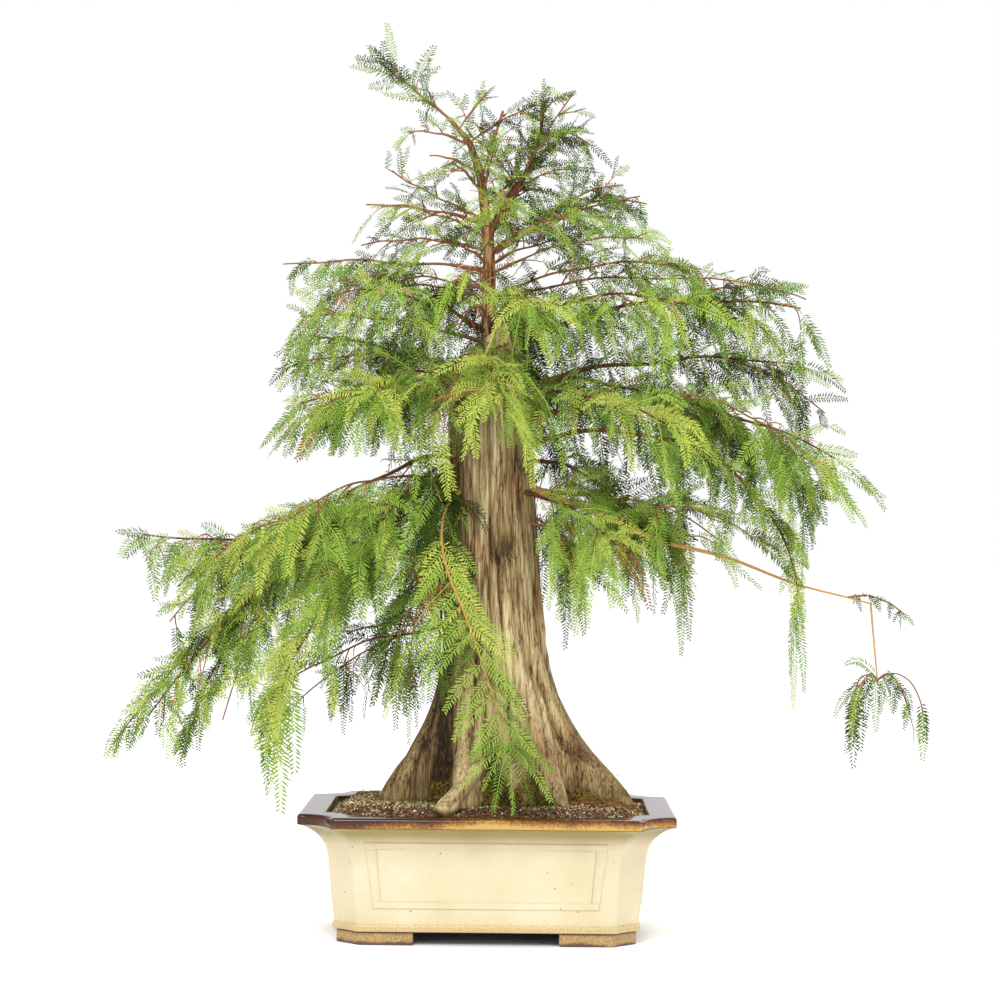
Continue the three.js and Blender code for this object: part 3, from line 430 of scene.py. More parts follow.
# Bark that shows: the same, kept free of the sprays in front of it
BARE_BARK = [
    (-4, 724, 14, 34), (-12, 668, 18, 24), (24, 468, 22, 62), (44, 372, 18, 60), (50, 262, 30, 70),
]
GAP_SHARE = 0.93
VIEW_DISTANCE = 2980
VIEW_HEIGHT = 420
VIEW_LEAN = 0.0095

# Sockets of a Mix node that mixes colours
FIRST, SECOND, MIXED = 6, 7, 2
FINE_GRAIN = {"Scale": 1.0, "Detail": 4.0}


def linear(colour):
    """An sRGB hex colour as linear red, green, blue and alpha."""
    parts = [int(colour[i:i + 2], 16) / 255 for i in (1, 3, 5)]
    return [c / 12.92 if c <= 0.04045 else ((c + 0.055) / 1.055) ** 2.4 for c in parts] + [1.0]


def add_node(tree, kind, settings=None, links=None, out=0):
    """Adds a node with its properties, input values, colour stops and links, and gives one output."""
    node = tree.nodes.new("ShaderNode" + kind)
    for name, value in (settings or {}).items():
        if name == "stops":
            while len(node.color_ramp.elements) < len(value):
                node.color_ramp.elements.new(1.0)
            for stop, (place, colour) in zip(node.color_ramp.elements, value):
                stop.position = place
                stop.color = linear(colour)
        elif isinstance(name, int) or name in node.inputs:
            node.inputs[name].default_value = value
        else:
            setattr(node, name, value)
    for name, output in (links or {}).items():
        tree.links.new(output, node.inputs[name])
    return node.outputs[out]


def set_shader(material, **settings):
    """Sets or links sockets of a material's Principled shader."""
    tree = material.node_tree
    for name, value in settings.items():
        socket = tree.nodes["Principled BSDF"].inputs[name.replace("_", " ")]
        if isinstance(value, bpy.types.NodeSocket):
            tree.links.new(value, socket)
        else:
            socket.default_value = value
    return material


def new_material(name, **settings):
    """A material with its Principled shader's values set."""
    material = bpy.data.materials.new(name)
    material.use_nodes = True
    return set_shader(material, **settings)


def needle_material(name, colour):
    """Bald cypress needles: soft, thin and satin, so their light edges stay gentle."""
    return new_material(name, Base_Color=linear(colour), Roughness=0.75, Specular_IOR_Level=0.08)


def twig_material(name, colour):
    """Young cypress wood: thin smooth bark with a faint sheen."""
    return new_material(name, Base_Color=linear(colour), Roughness=0.6, Specular_IOR_Level=0.3)


def grain_material(name, colour, roughness):
    """Sifted pot grit: broken grains of one stone, dusty on every face."""
    return new_material(name, Base_Color=linear(colour), Roughness=roughness)


def bark_material(name, stops, red, moss=False):
    """Cypress bark: fibrous strips, pale on their worn faces and dark in the cracks between them."""
    material = new_material(name, Roughness=0.85, Specular_IOR_Level=0.25)
    node = partial(add_node, material.node_tree)
    place = node("TexCoord", out="Object")
    # The bark's grain, which on the trunk also carries painted shade in the hollows between the roots
    grain = node("Attribute", {"attribute_name": "grain"}, out="Fac")
    # Fibres 2 mm wide and 30 mm long, with finer ones inside them
    drawn = node("Mapping", {"Scale": (520, 520, 34)}, {"Vector": place})
    fibre = node("TexNoise", {"Scale": 1.0, "Detail": 5.0, "Roughness": 0.7}, {"Vector": drawn})
    # Fissures that part the bark into strips 9 mm wide and 80 mm long
    parted = node("Mapping", {"Scale": (110, 110, 12)}, {"Vector": place})
    strip = node("TexNoise", {**FINE_GRAIN, "Roughness": 0.6}, {"Vector": parted})
    off_line = node("Math", {"operation": "SUBTRACT", 1: 0.5}, {0: strip})
    from_line = node("Math", {"operation": "ABSOLUTE"}, {0: off_line})
    fissure = node("MapRange", {"From Min": 0.03, "From Max": 0.0, "To Max": 0.26}, {"Value": from_line})
    # Weathered and red patches about 40 mm across and 110 mm long
    wide = node("Mapping", {"Scale": (26, 26, 9)}, {"Vector": place})
    patch = node("TexNoise", FINE_GRAIN, {"Vector": wide})
    worn = node("Math", {"operation": "MULTIPLY_ADD", 1: 0.9}, {0: fibre, 2: grain})
    split = node("Math", {"operation": "SUBTRACT"}, {0: worn, 1: fissure})
    even = node("Math", {"operation": "SUBTRACT", 1: 0.14}, {0: split})
    shade = node("ValToRGB", {"stops": stops}, {"Fac": even})
    reach = node("MapRange", {"From Min": 0.52, "From Max": 0.68, "To Max": 0.55}, {"Value": patch})
    colour = node("Mix", {"data_type": "RGBA", "blend_type": "MULTIPLY", SECOND: linear(red)},
                  {0: reach, FIRST: shade}, MIXED)
    if moss:
        # Tufts and gaps of about 2 mm
        growth = node("Attribute", {"attribute_name": "moss"}, out="Fac")
        speck = node("TexNoise", {"Scale": 420.0, "Detail": 3.0}, {"Vector": place})
        greens = [(0.36, "#1C1406"), (0.47, "#4A3A10"), (0.56, "#6A6220"), (0.66, "#8A5A26")]
        green = node("ValToRGB", {"stops": greens}, {"Fac": speck})
        colour = node("Mix", {"data_type": "RGBA"}, {0: growth, FIRST: colour, SECOND: green}, MIXED)
    bump = node("Bump", {"Strength": 0.6, "Distance": 0.0012}, {"Height": fibre})
    return set_shader(material, Base_Color=colour, Normal=bump)


def glaze_material():
    """Cream stoneware glaze: thick and glossy, thin and brown where it ran off the rim's edge."""
    material = new_material("cream_glaze", Roughness=0.16, Specular_IOR_Level=0.38, Coat_Weight=0.08,
                            Coat_Roughness=0.08)
    node = partial(add_node, material.node_tree)
    place = node("TexCoord", out="Object")
    height = node("SeparateXYZ", None, {0: place}, "Z")
    # Cloudy streaks 50 mm across in the cream
    cloud = node("TexNoise", {"Scale": 20.0, "Detail": 3.0}, {"Vector": place})
    creams = [(0.3, "#C6BB96"), (0.55, "#CFC2A2"), (0.75, "#D5C9AD")]
    cream = node("ValToRGB", {"stops": creams}, {"Fac": cloud})
    # Tan that gathers in speckles of about 1 mm near edges
    fine = node("TexNoise", {"Scale": 900.0, "Detail": 2.0}, {"Vector": place})
    edge = node("Attribute", {"attribute_name": "edge"}, out="Fac")
    gathered = node("Math", {"operation": "MULTIPLY_ADD", 1: 2.0, 2: -1.2}, {0: fine})
    tanned = node("Math", {"operation": "ADD"}, {0: edge, 1: gathered})
    tan_share = node("MapRange", {"From Min": 0.1, "From Max": 0.75, "To Max": 0.85}, {"Value": tanned})
    body = node("Mix", {"data_type": "RGBA", SECOND: linear("#B89A5C")}, {0: tan_share, FIRST: cream}, MIXED)
    # Painted shadow under the rim, where the glaze also thins: dull olive multiplied in below the band
    under = node("Attribute", {"attribute_name": "under"}, out="Fac")
    dulled = node("Mix", {"data_type": "RGBA", "blend_type": "MULTIPLY", SECOND: linear("#B6B08A")},
                  {0: under, FIRST: body}, MIXED)
    # Iron specks of about 1 mm, some 15 mm apart
    speck = node("TexVoronoi", {"Scale": 62.0}, {"Vector": place}, "Distance")
    dot = node("Math", {"operation": "LESS_THAN", 1: 0.05}, {0: speck})
    dotted = node("Mix", {"data_type": "RGBA", SECOND: linear("#7A5530")}, {0: dot, FIRST: dulled}, MIXED)
    # The rim's brown begins in a wavy line on the band, low near the corners
    wave = node("TexNoise", {"Scale": 14.0, "Detail": 3.0}, {"Vector": place})
    shifted = node("Math", {"operation": "MULTIPLY_ADD", 1: 0.018}, {0: wave, 2: height})
    mottle = node("TexNoise", {"Scale": 320.0, "Detail": 3.0}, {"Vector": place})
    blurred = node("Math", {"operation": "MULTIPLY_ADD", 1: 0.011}, {0: mottle, 2: shifted})
    across = node("SeparateXYZ", None, {0: place}, "X")
    offset = node("Math", {"operation": "SUBTRACT", 1: 0.03}, {0: across})
    aside = node("Math", {"operation": "ABSOLUTE"}, {0: offset})
    ends = node("MapRange", {"From Min": 0.06, "From Max": 0.19, "To Max": 0.0108}, {"Value": aside})
    leaning = node("Math", {"operation": "ADD"}, {0: ends, 1: blurred})
    low = (BAND_BOTTOM + 1) * MM + 0.0172
    run = node("MapRange", {"From Min": low, "From Max": low + 0.0098}, {"Value": leaning})
    browns = [(0.0, "#B8944C"), (0.3, "#966C2C"), (0.62, "#6C3E0A"), (1.0, "#381600")]
    brown = node("ValToRGB", {"stops": browns}, {"Fac": run})
    on_rim = node("Attribute", {"attribute_name": "rim"}, out="Fac")
    glazed = node("Mix", {"data_type": "RGBA"}, {0: on_rim, FIRST: dotted, SECOND: brown}, MIXED)
    # Bare clay underneath, painted near-black as painted shade, so that the gap under the pot stays dark
    bare = node("Attribute", {"attribute_name": "bare"}, out="Fac")
    colour = node("Mix", {"data_type": "RGBA", SECOND: linear("#2E221A")}, {0: bare, FIRST: glazed}, MIXED)
    ripple = node("TexNoise", {"Scale": 60.0, "Detail": 2.0}, {"Vector": place})
    bump = node("Bump", {"Strength": 0.25, "Distance": 0.0012}, {"Height": ripple})
    return set_shader(material, Base_Color=colour, Normal=bump)


def foot_material():
    """Thin tan glaze on stoneware, worn to dark clay along the edge that it stands on."""
    material = new_material("foot_glaze", Roughness=0.45)
    node = partial(add_node, material.node_tree)
    place = node("TexCoord", out="Object")
    height = node("SeparateXYZ", None, {0: place}, "Z")
    # Speckles of about 1 mm
    fine = node("TexNoise", {"Scale": 1100.0, "Detail": 3.0}, {"Vector": place})
    tan = node("ValToRGB", {"stops": [(0.36, "#7E6036"), (0.5, "#A28250"), (0.66, "#C6A970")]}, {"Fac": fine})
    wave = node("TexNoise", {"Scale": 45.0, "Detail": 4.0}, {"Vector": place})
    line = node("Math", {"operation": "MULTIPLY_ADD", 1: -0.012}, {0: wave, 2: height})
    clay = node("MapRange", {"From Min": -0.0022, "From Max": -0.0048}, {"Value": line})
    colour = node("Mix", {"data_type": "RGBA", SECOND: linear("#5A4034")}, {0: clay, FIRST: tan}, MIXED)
    bump = node("Bump", {"Strength": 0.5, "Distance": 0.0006}, {"Height": fine})
    return set_shader(material, Base_Color=colour, Normal=bump)


def soil_material():
    """Damp bark and grit between the grains: dark, rough and uneven, with crumbs of 2 to 3 mm."""
    material = new_material("soil_grit", Roughness=0.95, Specular_IOR_Level=0.2)
    node = partial(add_node, material.node_tree)
    crumb = node("TexNoise", {"Scale": 380.0, "Detail": 4.0}, {"Vector": node("TexCoord", out="Object")})
    browns = [(0.35, "#2A1C14"), (0.52, "#5A4030"), (0.68, "#8A6A4A")]
    colour = node("ValToRGB", {"stops": browns}, {"Fac": crumb})
    bump = node("Bump", {"Strength": 0.8, "Distance": 0.002}, {"Height": crumb})
    return set_shader(material, Base_Color=colour, Normal=bump)


def floor_material():
    """Matt white studio board with painted light: it glows everywhere but under the pot, so that it fades
    into the sky and its shadows pale, while painted shade stays in the gap under the pot.
    """
    material = new_material("studio_board", Base_Color=linear("#FAFAFA"), Roughness=0.9,
                            Specular_IOR_Level=0.0, Emission_Color=linear("#FFFFFF"))
    node = partial(add_node, material.node_tree)
    scale = (1000 / BASE_HALF_X, 1000 / BASE_HALF_Y, 0)
    wide = node("Mapping", {"Scale": scale}, {"Vector": node("TexCoord", out="Object")})
    off = node("VectorMath", {"operation": "LENGTH"}, {0: wide}, "Value")
    # Painted glow, none under the pot
    glow = node("MapRange", {"From Min": 1.0, "From Max": 1.3, "To Max": 0.13}, {"Value": off})
    return set_shader(material, Emission_Strength=glow)


def to_world(points):
    """Millimetres from the pot's middle, as metres in the frame."""
    return np.asarray(points, float) * MM + MIDDLE


def unit(vectors):
    """Vectors at length 1."""
    return vectors / np.maximum(np.linalg.norm(vectors, axis=-1, keepdims=True), 1e-9)


def mark(piece, **attributes):
    """Gives a piece's mesh a number of its own for each point, under each name."""
    for label, values in attributes.items():
        attribute = piece.data.attributes.new(label, "FLOAT", "POINT")
        attribute.data.foreach_set("value", np.asarray(values, np.float32).ravel())


def ride(piece, material, slot):
    """Gives a finished piece its material, and lets it ride with the plant. slot is not used."""
    piece.data.materials.clear()
    piece.data.materials.append(material)
    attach(piece, "root")
    return piece


def array_piece(name, points, faces, material, slot, smooth=False, **attributes):
    """A piece from arrays of points and faces, with a number of its own for each point where given."""
    mesh = bpy.data.meshes.new(name)
    mesh.vertices.add(len(points))
    mesh.vertices.foreach_set("co", to_world(points).astype(np.float32).ravel())
    mesh.loops.add(faces.size)
    mesh.loops.foreach_set("vertex_index", faces.astype(np.int32).ravel())
    mesh.polygons.add(len(faces))
    mesh.polygons.foreach_set("loop_start", np.arange(0, faces.size, faces.shape[1], dtype=np.int32))
    mesh.polygons.foreach_set("use_smooth", np.full(len(faces), smooth))
    mesh.update(calc_edges=True)
    piece = bpy.data.objects.new(name, mesh)
    mark(piece, **attributes)
    bpy.context.scene.collection.objects.link(piece)
    return ride(piece, material, slot)


class Heap:
    """Many small shapes of one kind, gathered as arrays and joined into pieces."""

    def __init__(self, name, material, slot):
        self.name = name
        self.material = material
        self.slot = slot
        self.shapes = []

    def add(self, points, faces):
        self.shapes.append((points, faces))

    def pieces(self):
        """Joins the shapes into as few pieces as keep below the most faces for one."""
        total = sum(len(faces) for _, faces in self.shapes)
        share = math.ceil(total / math.ceil(max(total, 1) / MOST_FACES))
        made = []
        points, faces, count, held = [], [], 0, 0
        for index, (own_points, own_faces) in enumerate(self.shapes):
            points.append(own_points)
            faces.append(own_faces + count)
            count += len(own_points)
            held += len(own_faces)
            if held >= share or index + 1 == len(self.shapes):
                made.append(array_piece(f"{self.name}_{len(made) + 1}", np.concatenate(points),
                                        np.concatenate(faces), self.material, self.slot))
                points, faces, count, held = [], [], 0, 0
        return made


def soft_noise(rng, columns, rows, turn, height):
    """Smooth noise from 0 to 1, with that many bumps round the trunk and up it."""
    grid = rng.random((rows + 2, columns))
    across = (turn % 1) * columns
    upward = np.clip(height, 0, 1) * rows
    column = np.floor(across).astype(int)
    row = np.floor(upward).astype(int)
    a = across - column
    b = upward - row
    a = a * a * (3 - 2 * a)
    b = b * b * (3 - 2 * b)
    left = column % columns
    right = (column + 1) % columns
    low = grid[row, left] * (1 - a) + grid[row, right] * a
    high = grid[row + 1, left] * (1 - a) + grid[row + 1, right] * a
    return low * (1 - b) + high * b


def ridged(noise):
    """Turns smooth noise into ridges with cracks between them."""
    return 1 - np.abs(2 * noise - 1)


def crack(noise, width):
    """1 along the lines where smooth noise crosses its middle, 0 away from them."""
    return np.exp(-((2 * noise - 1) / width) ** 2)


def smoothstep(low, high, value):
    """0 below low and 1 above high, with a soft rise between."""
    t = np.clip((value - low) / (high - low), 0, 1)
    return t * t * (3 - 2 * t)


def halves(quads):
    """Quads as triangles."""
    return np.concatenate([quads[:, [0, 1, 2]], quads[:, [0, 2, 3]]])


def around(count, share):
    """The turn from 0 to 1 round a tube and the share along it, for each of its points."""
    turn, level = np.broadcast_arrays((np.arange(count) / count)[None, :], share)
    return turn, level


def ring_faces(rings, count):
    """Faces between rings of equal length, as quads."""
    row = np.arange(rings - 1)[:, None] * count
    here = np.arange(count)[None, :]
    after = (here + 1) % count
    return np.stack([row + here, row + after, row + count + after, row + count + here], -1).reshape(-1, 4)


# The pot

def wall_flare(z):
    """How far the outer wall stands out from the pot's base at height z."""
    rise = max(0.0, z - FLARE_START)
    return WALL_BATTER * (z - POT_BOTTOM) + FLARE_RADIUS - math.sqrt(FLARE_RADIUS ** 2 - rise ** 2)


def panel_edges(straight, z):
    """Half lengths of the raised frame's outer and inner edges, on a side of that straight half length."""
    rise = (z - PANEL_LOW) / (PANEL_HIGH - PANEL_LOW)
    outer = straight - PANEL_SIDE_LOW + (PANEL_SIDE_LOW - PANEL_SIDE_HIGH) * rise
    inner = outer - FRAME_SIDE_LOW - (FRAME_SIDE_HIGH - FRAME_SIDE_LOW) * rise
    return outer, inner


def side_points(straight, z, bar, field):
    """Stations along one straight side from its middle to its end: distance, and how far each stands out.
    bar is the frame's height there above its ends, and field the height between its uprights."""
    outer, inner = panel_edges(straight, z)
    return [
        (inner * 0.4, field), (inner - FRAME_EDGE, field), (inner - FRAME_EDGE / 2, (field + bar) / 2),
        (inner, bar), (outer, bar), (outer + FRAME_EDGE / 2, bar / 2), (outer + FRAME_EDGE, 0.0),
    ]


def pot_ring(half_x, half_y, corner, hollow, z, bar=0.0, field=0.0):
    """One level of the pot: four sides with stations for the panels, and corners that are cut in."""
    ring = []
    for quarter in range(4):
        turn = math.radians(90 * quarter)
        half_out, half_along = (half_y, half_x) if quarter % 2 == 0 else (half_x, half_y)
        base = (BASE_HALF_X if quarter % 2 == 0 else BASE_HALF_Y) - BASE_CHAMFER
        stations = side_points(base, z, bar, field)
        along = [(-distance, proud) for distance, proud in reversed(stations)] + stations
        local = [Vector((distance, -half_out - proud, 0)) for distance, proud in along]
        notch = []
        for step in range(CORNER_STEPS + 1):
            t = step / CORNER_STEPS
            angle = t * math.pi / 2
            cut_along = corner * ((1 - hollow) * (1 - t) + hollow * math.cos(angle))
            cut_out = corner * ((1 - hollow) * t + hollow * math.sin(angle))
            notch.append(Vector((half_along - cut_along, -half_out + cut_out, 0)))
        local += eased(local[-1], notch[0], notch[1]) + notch[1:-1]
        local += eased(notch[-2], notch[-1], notch[-1] + Vector((0, 10, 0)))
        ring += [Matrix.Rotation(turn, 3, "Z") @ point for point in local]
    return [(point.x, point.y, z) for point in ring]


def eased(before, corner, after):
    """A few points that round a sharp corner."""
    start, finish = [corner + (side - corner).normalized() * min(ARRIS_EASE, (side - corner).length * 0.8)
                     for side in (before, after)]
    shares = [step / (ARRIS_STEPS - 1) for step in range(ARRIS_STEPS)]
    return [start * (1 - t) ** 2 + corner * 2 * t * (1 - t) + finish * t * t for t in shares]


def wall_ring(z, offset=0.0, bar=0.0, field=0.0):
    """A level of the wall, whose corners go from chamfers at its base to cut-in corners under the rim."""
    flare = wall_flare(z)
    share = min(1.0, flare / BASE_INSET)
    corner = BASE_CHAMFER + (RIM_NOTCH - BASE_CHAMFER) * share
    hollow = BASE_HOLLOW + (1 - BASE_HOLLOW) * share
    return pot_ring(BASE_HALF_X + flare + offset, BASE_HALF_Y + flare + offset, corner, hollow, z, bar, field)


def rim_ring(inset, z, hollow=1.0):
    """A level of the rim, that far in from its outer edge."""
    return pot_ring(POT_WIDTH / 2 - inset, POT_DEPTH / 2 - inset, RIM_NOTCH, hollow, z)


def quarter_turn(count):
    """Sines and cosines of that many angles from 0 to a right angle."""
    angles = [math.pi / 2 * step / (count - 1) for step in range(count)]
    return [(math.sin(angle), math.cos(angle)) for angle in angles]


def pot_rings():
    """The pot's levels, from its underside up the outside, over the rim and down inside."""
    rings = [wall_ring(POT_BOTTOM, BEAD_PROUD - 2.5)]
    for step in range(1, 8):
        angle = math.pi * step / 8
        rings.append(wall_ring(POT_BOTTOM + BASE_BEAD * (1 - math.cos(angle)) / 2,
                               BEAD_PROUD - BEAD_ROUND + BEAD_ROUND * math.sin(angle)))
    rings += [wall_ring(POT_BOTTOM + BASE_BEAD, 0.1), wall_ring(POT_BOTTOM + BASE_BEAD + 2)]
    edge, proud = FRAME_EDGE / 2, FRAME_PROUD
    low_bar, high_bar = PANEL_LOW + FRAME_BOTTOM, PANEL_HIGH - FRAME_TOP
    levels = [
        (PANEL_LOW - 2 * edge, 0, 0), (PANEL_LOW - edge, proud / 2, proud / 2), (PANEL_LOW, proud, proud),
        (low_bar, proud, proud), (low_bar + edge, proud, proud / 2), (low_bar + 2 * edge, proud, 0),
        ((low_bar + high_bar) / 2, proud, 0), (FLARE_START, proud, 0),
        (high_bar - 2 * edge, proud, 0), (high_bar - edge, proud, proud / 2), (high_bar, proud, proud),
        (PANEL_HIGH, proud, proud), (PANEL_HIGH + edge, proud / 2, proud / 2), (PANEL_HIGH + 2 * edge, 0, 0),
    ]
    rings += [wall_ring(z, 0, bar, field) for z, bar, field in levels]
    start = PANEL_HIGH + 2 * edge
    for step in range(1, FLARE_STEPS + 1):
        rings.append(wall_ring(start + (BAND_BOTTOM - start) * step / FLARE_STEPS))
    rings.append(rim_ring(BAND_EASE, BAND_BOTTOM + 0.1))
    for sine, cosine in quarter_turn(4):
        rings.append(rim_ring(BAND_EASE * (1 - sine), BAND_BOTTOM + 0.2 + BAND_EASE * (1 - cosine)))
    for sine, cosine in quarter_turn(6):
        rings.append(rim_ring(RIM_EASE * (1 - cosine), POT_TOP - RIM_EASE * (1 - sine)))
    rings.append(rim_ring(RIM_LAND * 0.5, POT_TOP - 0.3, LAND_HOLLOW))
    for sine, cosine in quarter_turn(4):
        rings.append(rim_ring(RIM_LAND - MOUTH_EASE * (1 - sine), POT_TOP - MOUTH_EASE * (1 - cosine),
                              MOUTH_HOLLOW))
    rings.append(rim_ring(RIM_LAND + 1, BAND_BOTTOM - 4, MOUTH_HOLLOW))
    return rings


def raised(name, rings):
    """A shell that grows from a circle's face by extruding it through one level after another."""
    bpy.ops.mesh.primitive_circle_add(vertices=len(rings[0]), fill_type="NGON")
    piece = bpy.context.object
    piece.name = name
    bpy.ops.object.mode_set(mode="EDIT")
    bpy.ops.mesh.select_all(action="SELECT")
    for level, ring in enumerate(rings):
        if level:
            bpy.ops.mesh.extrude_region_move()
        shape = bmesh.from_edit_mesh(piece.data)
        middle = MIDDLE if level else np.zeros(3)
        lifted = sorted((v for v in shape.verts if v.select),
                        key=lambda v: math.atan2(v.co.y - middle[1], v.co.x - middle[0]))
        places = sorted(ring, key=lambda p: math.atan2(p[1], p[0]))
        for vertex, place in zip(lifted, to_world(places)):
            vertex.co = place
        bmesh.update_edit_mesh(piece.data)
    bpy.ops.mesh.select_all(action="SELECT")
    bpy.ops.mesh.normals_make_consistent(inside=False)
    bpy.ops.object.mode_set(mode="OBJECT")
    return piece


def make_pot(glaze):
    """The glazed pot, with a mark for where its rim is and where its edges wear."""
    piece = raised("glazed_pot", pot_rings())
    height = np.array([v.co.z for v in piece.data.vertices]) / MM
    ledge = 1 - np.clip(np.abs(height - POT_BOTTOM - BASE_BEAD * 0.55) / 9, 0, 1)
    frame_top = 1 - np.clip(np.abs(height - PANEL_HIGH - 1) / 7, 0, 1)
    under_rim = 1 - np.clip(np.abs(height - BAND_BOTTOM) / 10, 0, 1)
    # bare: the clay underneath, painted near-black to keep the gap under the pot in shade
    mark(piece, rim=smoothstep(BAND_BOTTOM - 0.5, BAND_BOTTOM + 0.6, height), bare=height < POT_BOTTOM + 0.5,
         # under: painted shadow under the rim, with thinner glaze there, rising towards the band
         under=smoothstep(BAND_BOTTOM - 22, BAND_BOTTOM - 5, height),
         edge=np.maximum(np.maximum(ledge, 0.45 * frame_top), 0.35 * under_rim))
    bpy.ops.object.shade_smooth_by_angle(angle=math.radians(SHARP_ON_POT))
    ride(piece, glaze, "cream_glaze")
    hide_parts("pot")


def make_foot(node, material):
    """A bracket foot, eased all round from its own solid."""
    piece = frame["nodes"][node].copy()
    piece.data = piece.data.copy()
    piece.name = node.replace("pot_foot", "bracket_foot")
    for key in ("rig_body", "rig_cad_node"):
        del piece[key]
    piece.parent = None
    bpy.context.scene.collection.objects.link(piece)
    bpy.ops.object.select_all(action="DESELECT")
    piece.select_set(True)
    bpy.context.view_layer.objects.active = piece
    bpy.ops.object.mode_set(mode="EDIT")
    bpy.ops.mesh.select_all(action="SELECT")
    bpy.ops.mesh.remove_doubles(threshold=1e-5)
    bpy.ops.mesh.dissolve_limited(angle_limit=math.radians(2))
    bpy.ops.object.mode_set(mode="OBJECT")
    bevel = piece.modifiers.new("eased", "BEVEL")
    bevel.width = FOOT_EASE * MM
    bevel.segments = 3
    bevel.limit_method = "ANGLE"
    bpy.ops.object.modifier_apply(modifier=bevel.name)
    bpy.ops.object.shade_smooth_by_angle(angle=math.radians(SHARP_ON_FOOT))
    ride(piece, material, "foot_glaze")
    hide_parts(node)


# The trunk

def turn_from(angle, azimuth):
    """The turn from a direction in degrees to an angle, from half a turn back to half a turn on."""
    return (angle - math.radians(azimuth) + math.pi) % (2 * math.pi) - math.pi


def trunk_lobes(angle, flare):
    """How far the roots reach past the trunk in each direction."""
    reach = np.full(np.shape(angle), float(HOLLOW))
    for azimuth, length, width in ROOTS:
        spread = math.radians(width) * (2 - flare)
        reach = np.maximum(reach, length * np.exp(-(turn_from(angle, azimuth) / spread) ** 2))
    return reach


def root_flare(z):
    """How much of their full reach the roots have at height z."""
    return np.exp(-(np.maximum(0, z - SOIL_TOP) / FLARE_HEIGHT) ** FLARE_POWER)


def trunk_radius(angle, z):
    """How far the bark stands from the trunk's axis, before its relief."""
    upper = np.clip((z - TRUNK_SHOULDER) / (CHOP_HEIGHT - TRUNK_SHOULDER), 0, 1)
    shaft = TRUNK_RADIUS + TRUNK_TAPER * np.maximum(0, TRUNK_SHOULDER - z)
    share = upper ** SHOULDER_POWER
    round_part = shaft * (1 - share) + CHOP_RADIUS * share
    flare = root_flare(z)
    return round_part * (1 + RIB_DEPTH * np.cos(RIBS * angle)) + trunk_lobes(angle, flare) * flare


def trunk_axis_x(z):
    """How far to the right the trunk's axis stands at height z."""
    return TRUNK_TOP_X + (TRUNK_FOOT_X - TRUNK_TOP_X) * np.exp(-(z - SOIL_TOP) / TRUNK_BEND)


def make_trunk(bark, scar):
    """The trunk from just below the soil to its chop, with flutes, cracked bark and fibres."""
    rng = np.random.default_rng(SEED)
    share = np.linspace(0, 1, TRUNK_ROWS + 1)[:, None] ** 1.1
    turn, z = around(TRUNK_COLUMNS, (SOIL_TOP - TRUNK_SUNK) * (1 - share) + CHOP_HEIGHT * share)
    angle = 2 * math.pi * turn
    flare = root_flare(z)
    level = (z - SOIL_TOP + TRUNK_SUNK) / (CHOP_HEIGHT - SOIL_TOP + TRUNK_SUNK)
    wander = turn + 0.03 * (soft_noise(rng, 5, 4, turn, level) - 0.5)
    flutes = soft_noise(rng, 13, 3, wander, level) - 0.5
    cracks = crack(soft_noise(rng, 30, 5, wander, level), 0.2)
    splits = crack(soft_noise(rng, 78, 10, wander, level), 0.3)
    fibres = 0.5 * soft_noise(rng, 170, 11, wander, level) + 0.5 * soft_noise(rng, 120, 24, wander, level)
    smooth = 1 - 0.55 * smoothstep(0.25, 0.95, flare)
    cut = CRACK_DEPTH * cracks + SPLIT_DEPTH * splits
    relief = 7 * flutes * (0.6 + flare) + smooth * (1.2 * fibres - cut) + 1
    fade = smoothstep(0, 0.015, level) * smoothstep(0, 0.02, 1 - level)
    radius = trunk_radius(angle, z) + relief * fade
    across = radius * np.cos(angle)
    lift = CHOP_SLOPE * across * smoothstep(CHOP_HEIGHT - CHOP_BLEND, CHOP_HEIGHT, z)
    points = np.stack([trunk_axis_x(z) + across, radius * np.sin(angle), z + lift], -1).reshape(-1, 3)
    broad = soft_noise(rng, 24, 6, turn, level) - 0.5
    grain = 0.5 + 0.3 * (fibres - 0.5) + 0.1 * flutes + 0.2 * broad - smooth * (0.2 * cracks + 0.12 * splits)
    grain = np.clip(grain, 0, 1)
    hollow = 1 - smoothstep(HOLLOW, HOLLOW_END, trunk_lobes(angle, flare))
    above = z - SOIL_TOP
    # Painted shade, with some dirt: the bark darker in the hollows between the roots near the soil
    grain -= 0.3 * hollow * smoothstep(110, 10, above)
    # Painted shade down the flutes between the roots, fading upwards
    for azimuth, wide, depth, top in DARK_FLUTES:
        off = turn_from(angle, azimuth) / math.radians(wide)
        grain -= depth * np.exp(-off ** 2) * smoothstep(top, top * 0.4, above)
    grain = np.clip(grain, 0, 1)
    damp = soft_noise(rng, 60, 60, turn, level) + 0.5 * soft_noise(rng, 20, 16, turn, level)
    moss = np.clip((14 + 34 * hollow - above) / 20 + 2.5 * (damp - 0.8), 0, 1) * smoothstep(105, 40, above)
    piece = array_piece("trunk_bark", points, ring_faces(TRUNK_ROWS + 1, TRUNK_COLUMNS), bark, "bark",
                        smooth=True, grain=grain, moss=moss)
    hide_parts("trunk")
    make_scar(points[-TRUNK_COLUMNS:], scar, rng)


def spaced(knots, count):
    """Evenly spaced values along knots joined by straight lines."""
    return np.interp(np.linspace(0, len(knots) - 1, count), np.arange(len(knots)), knots)


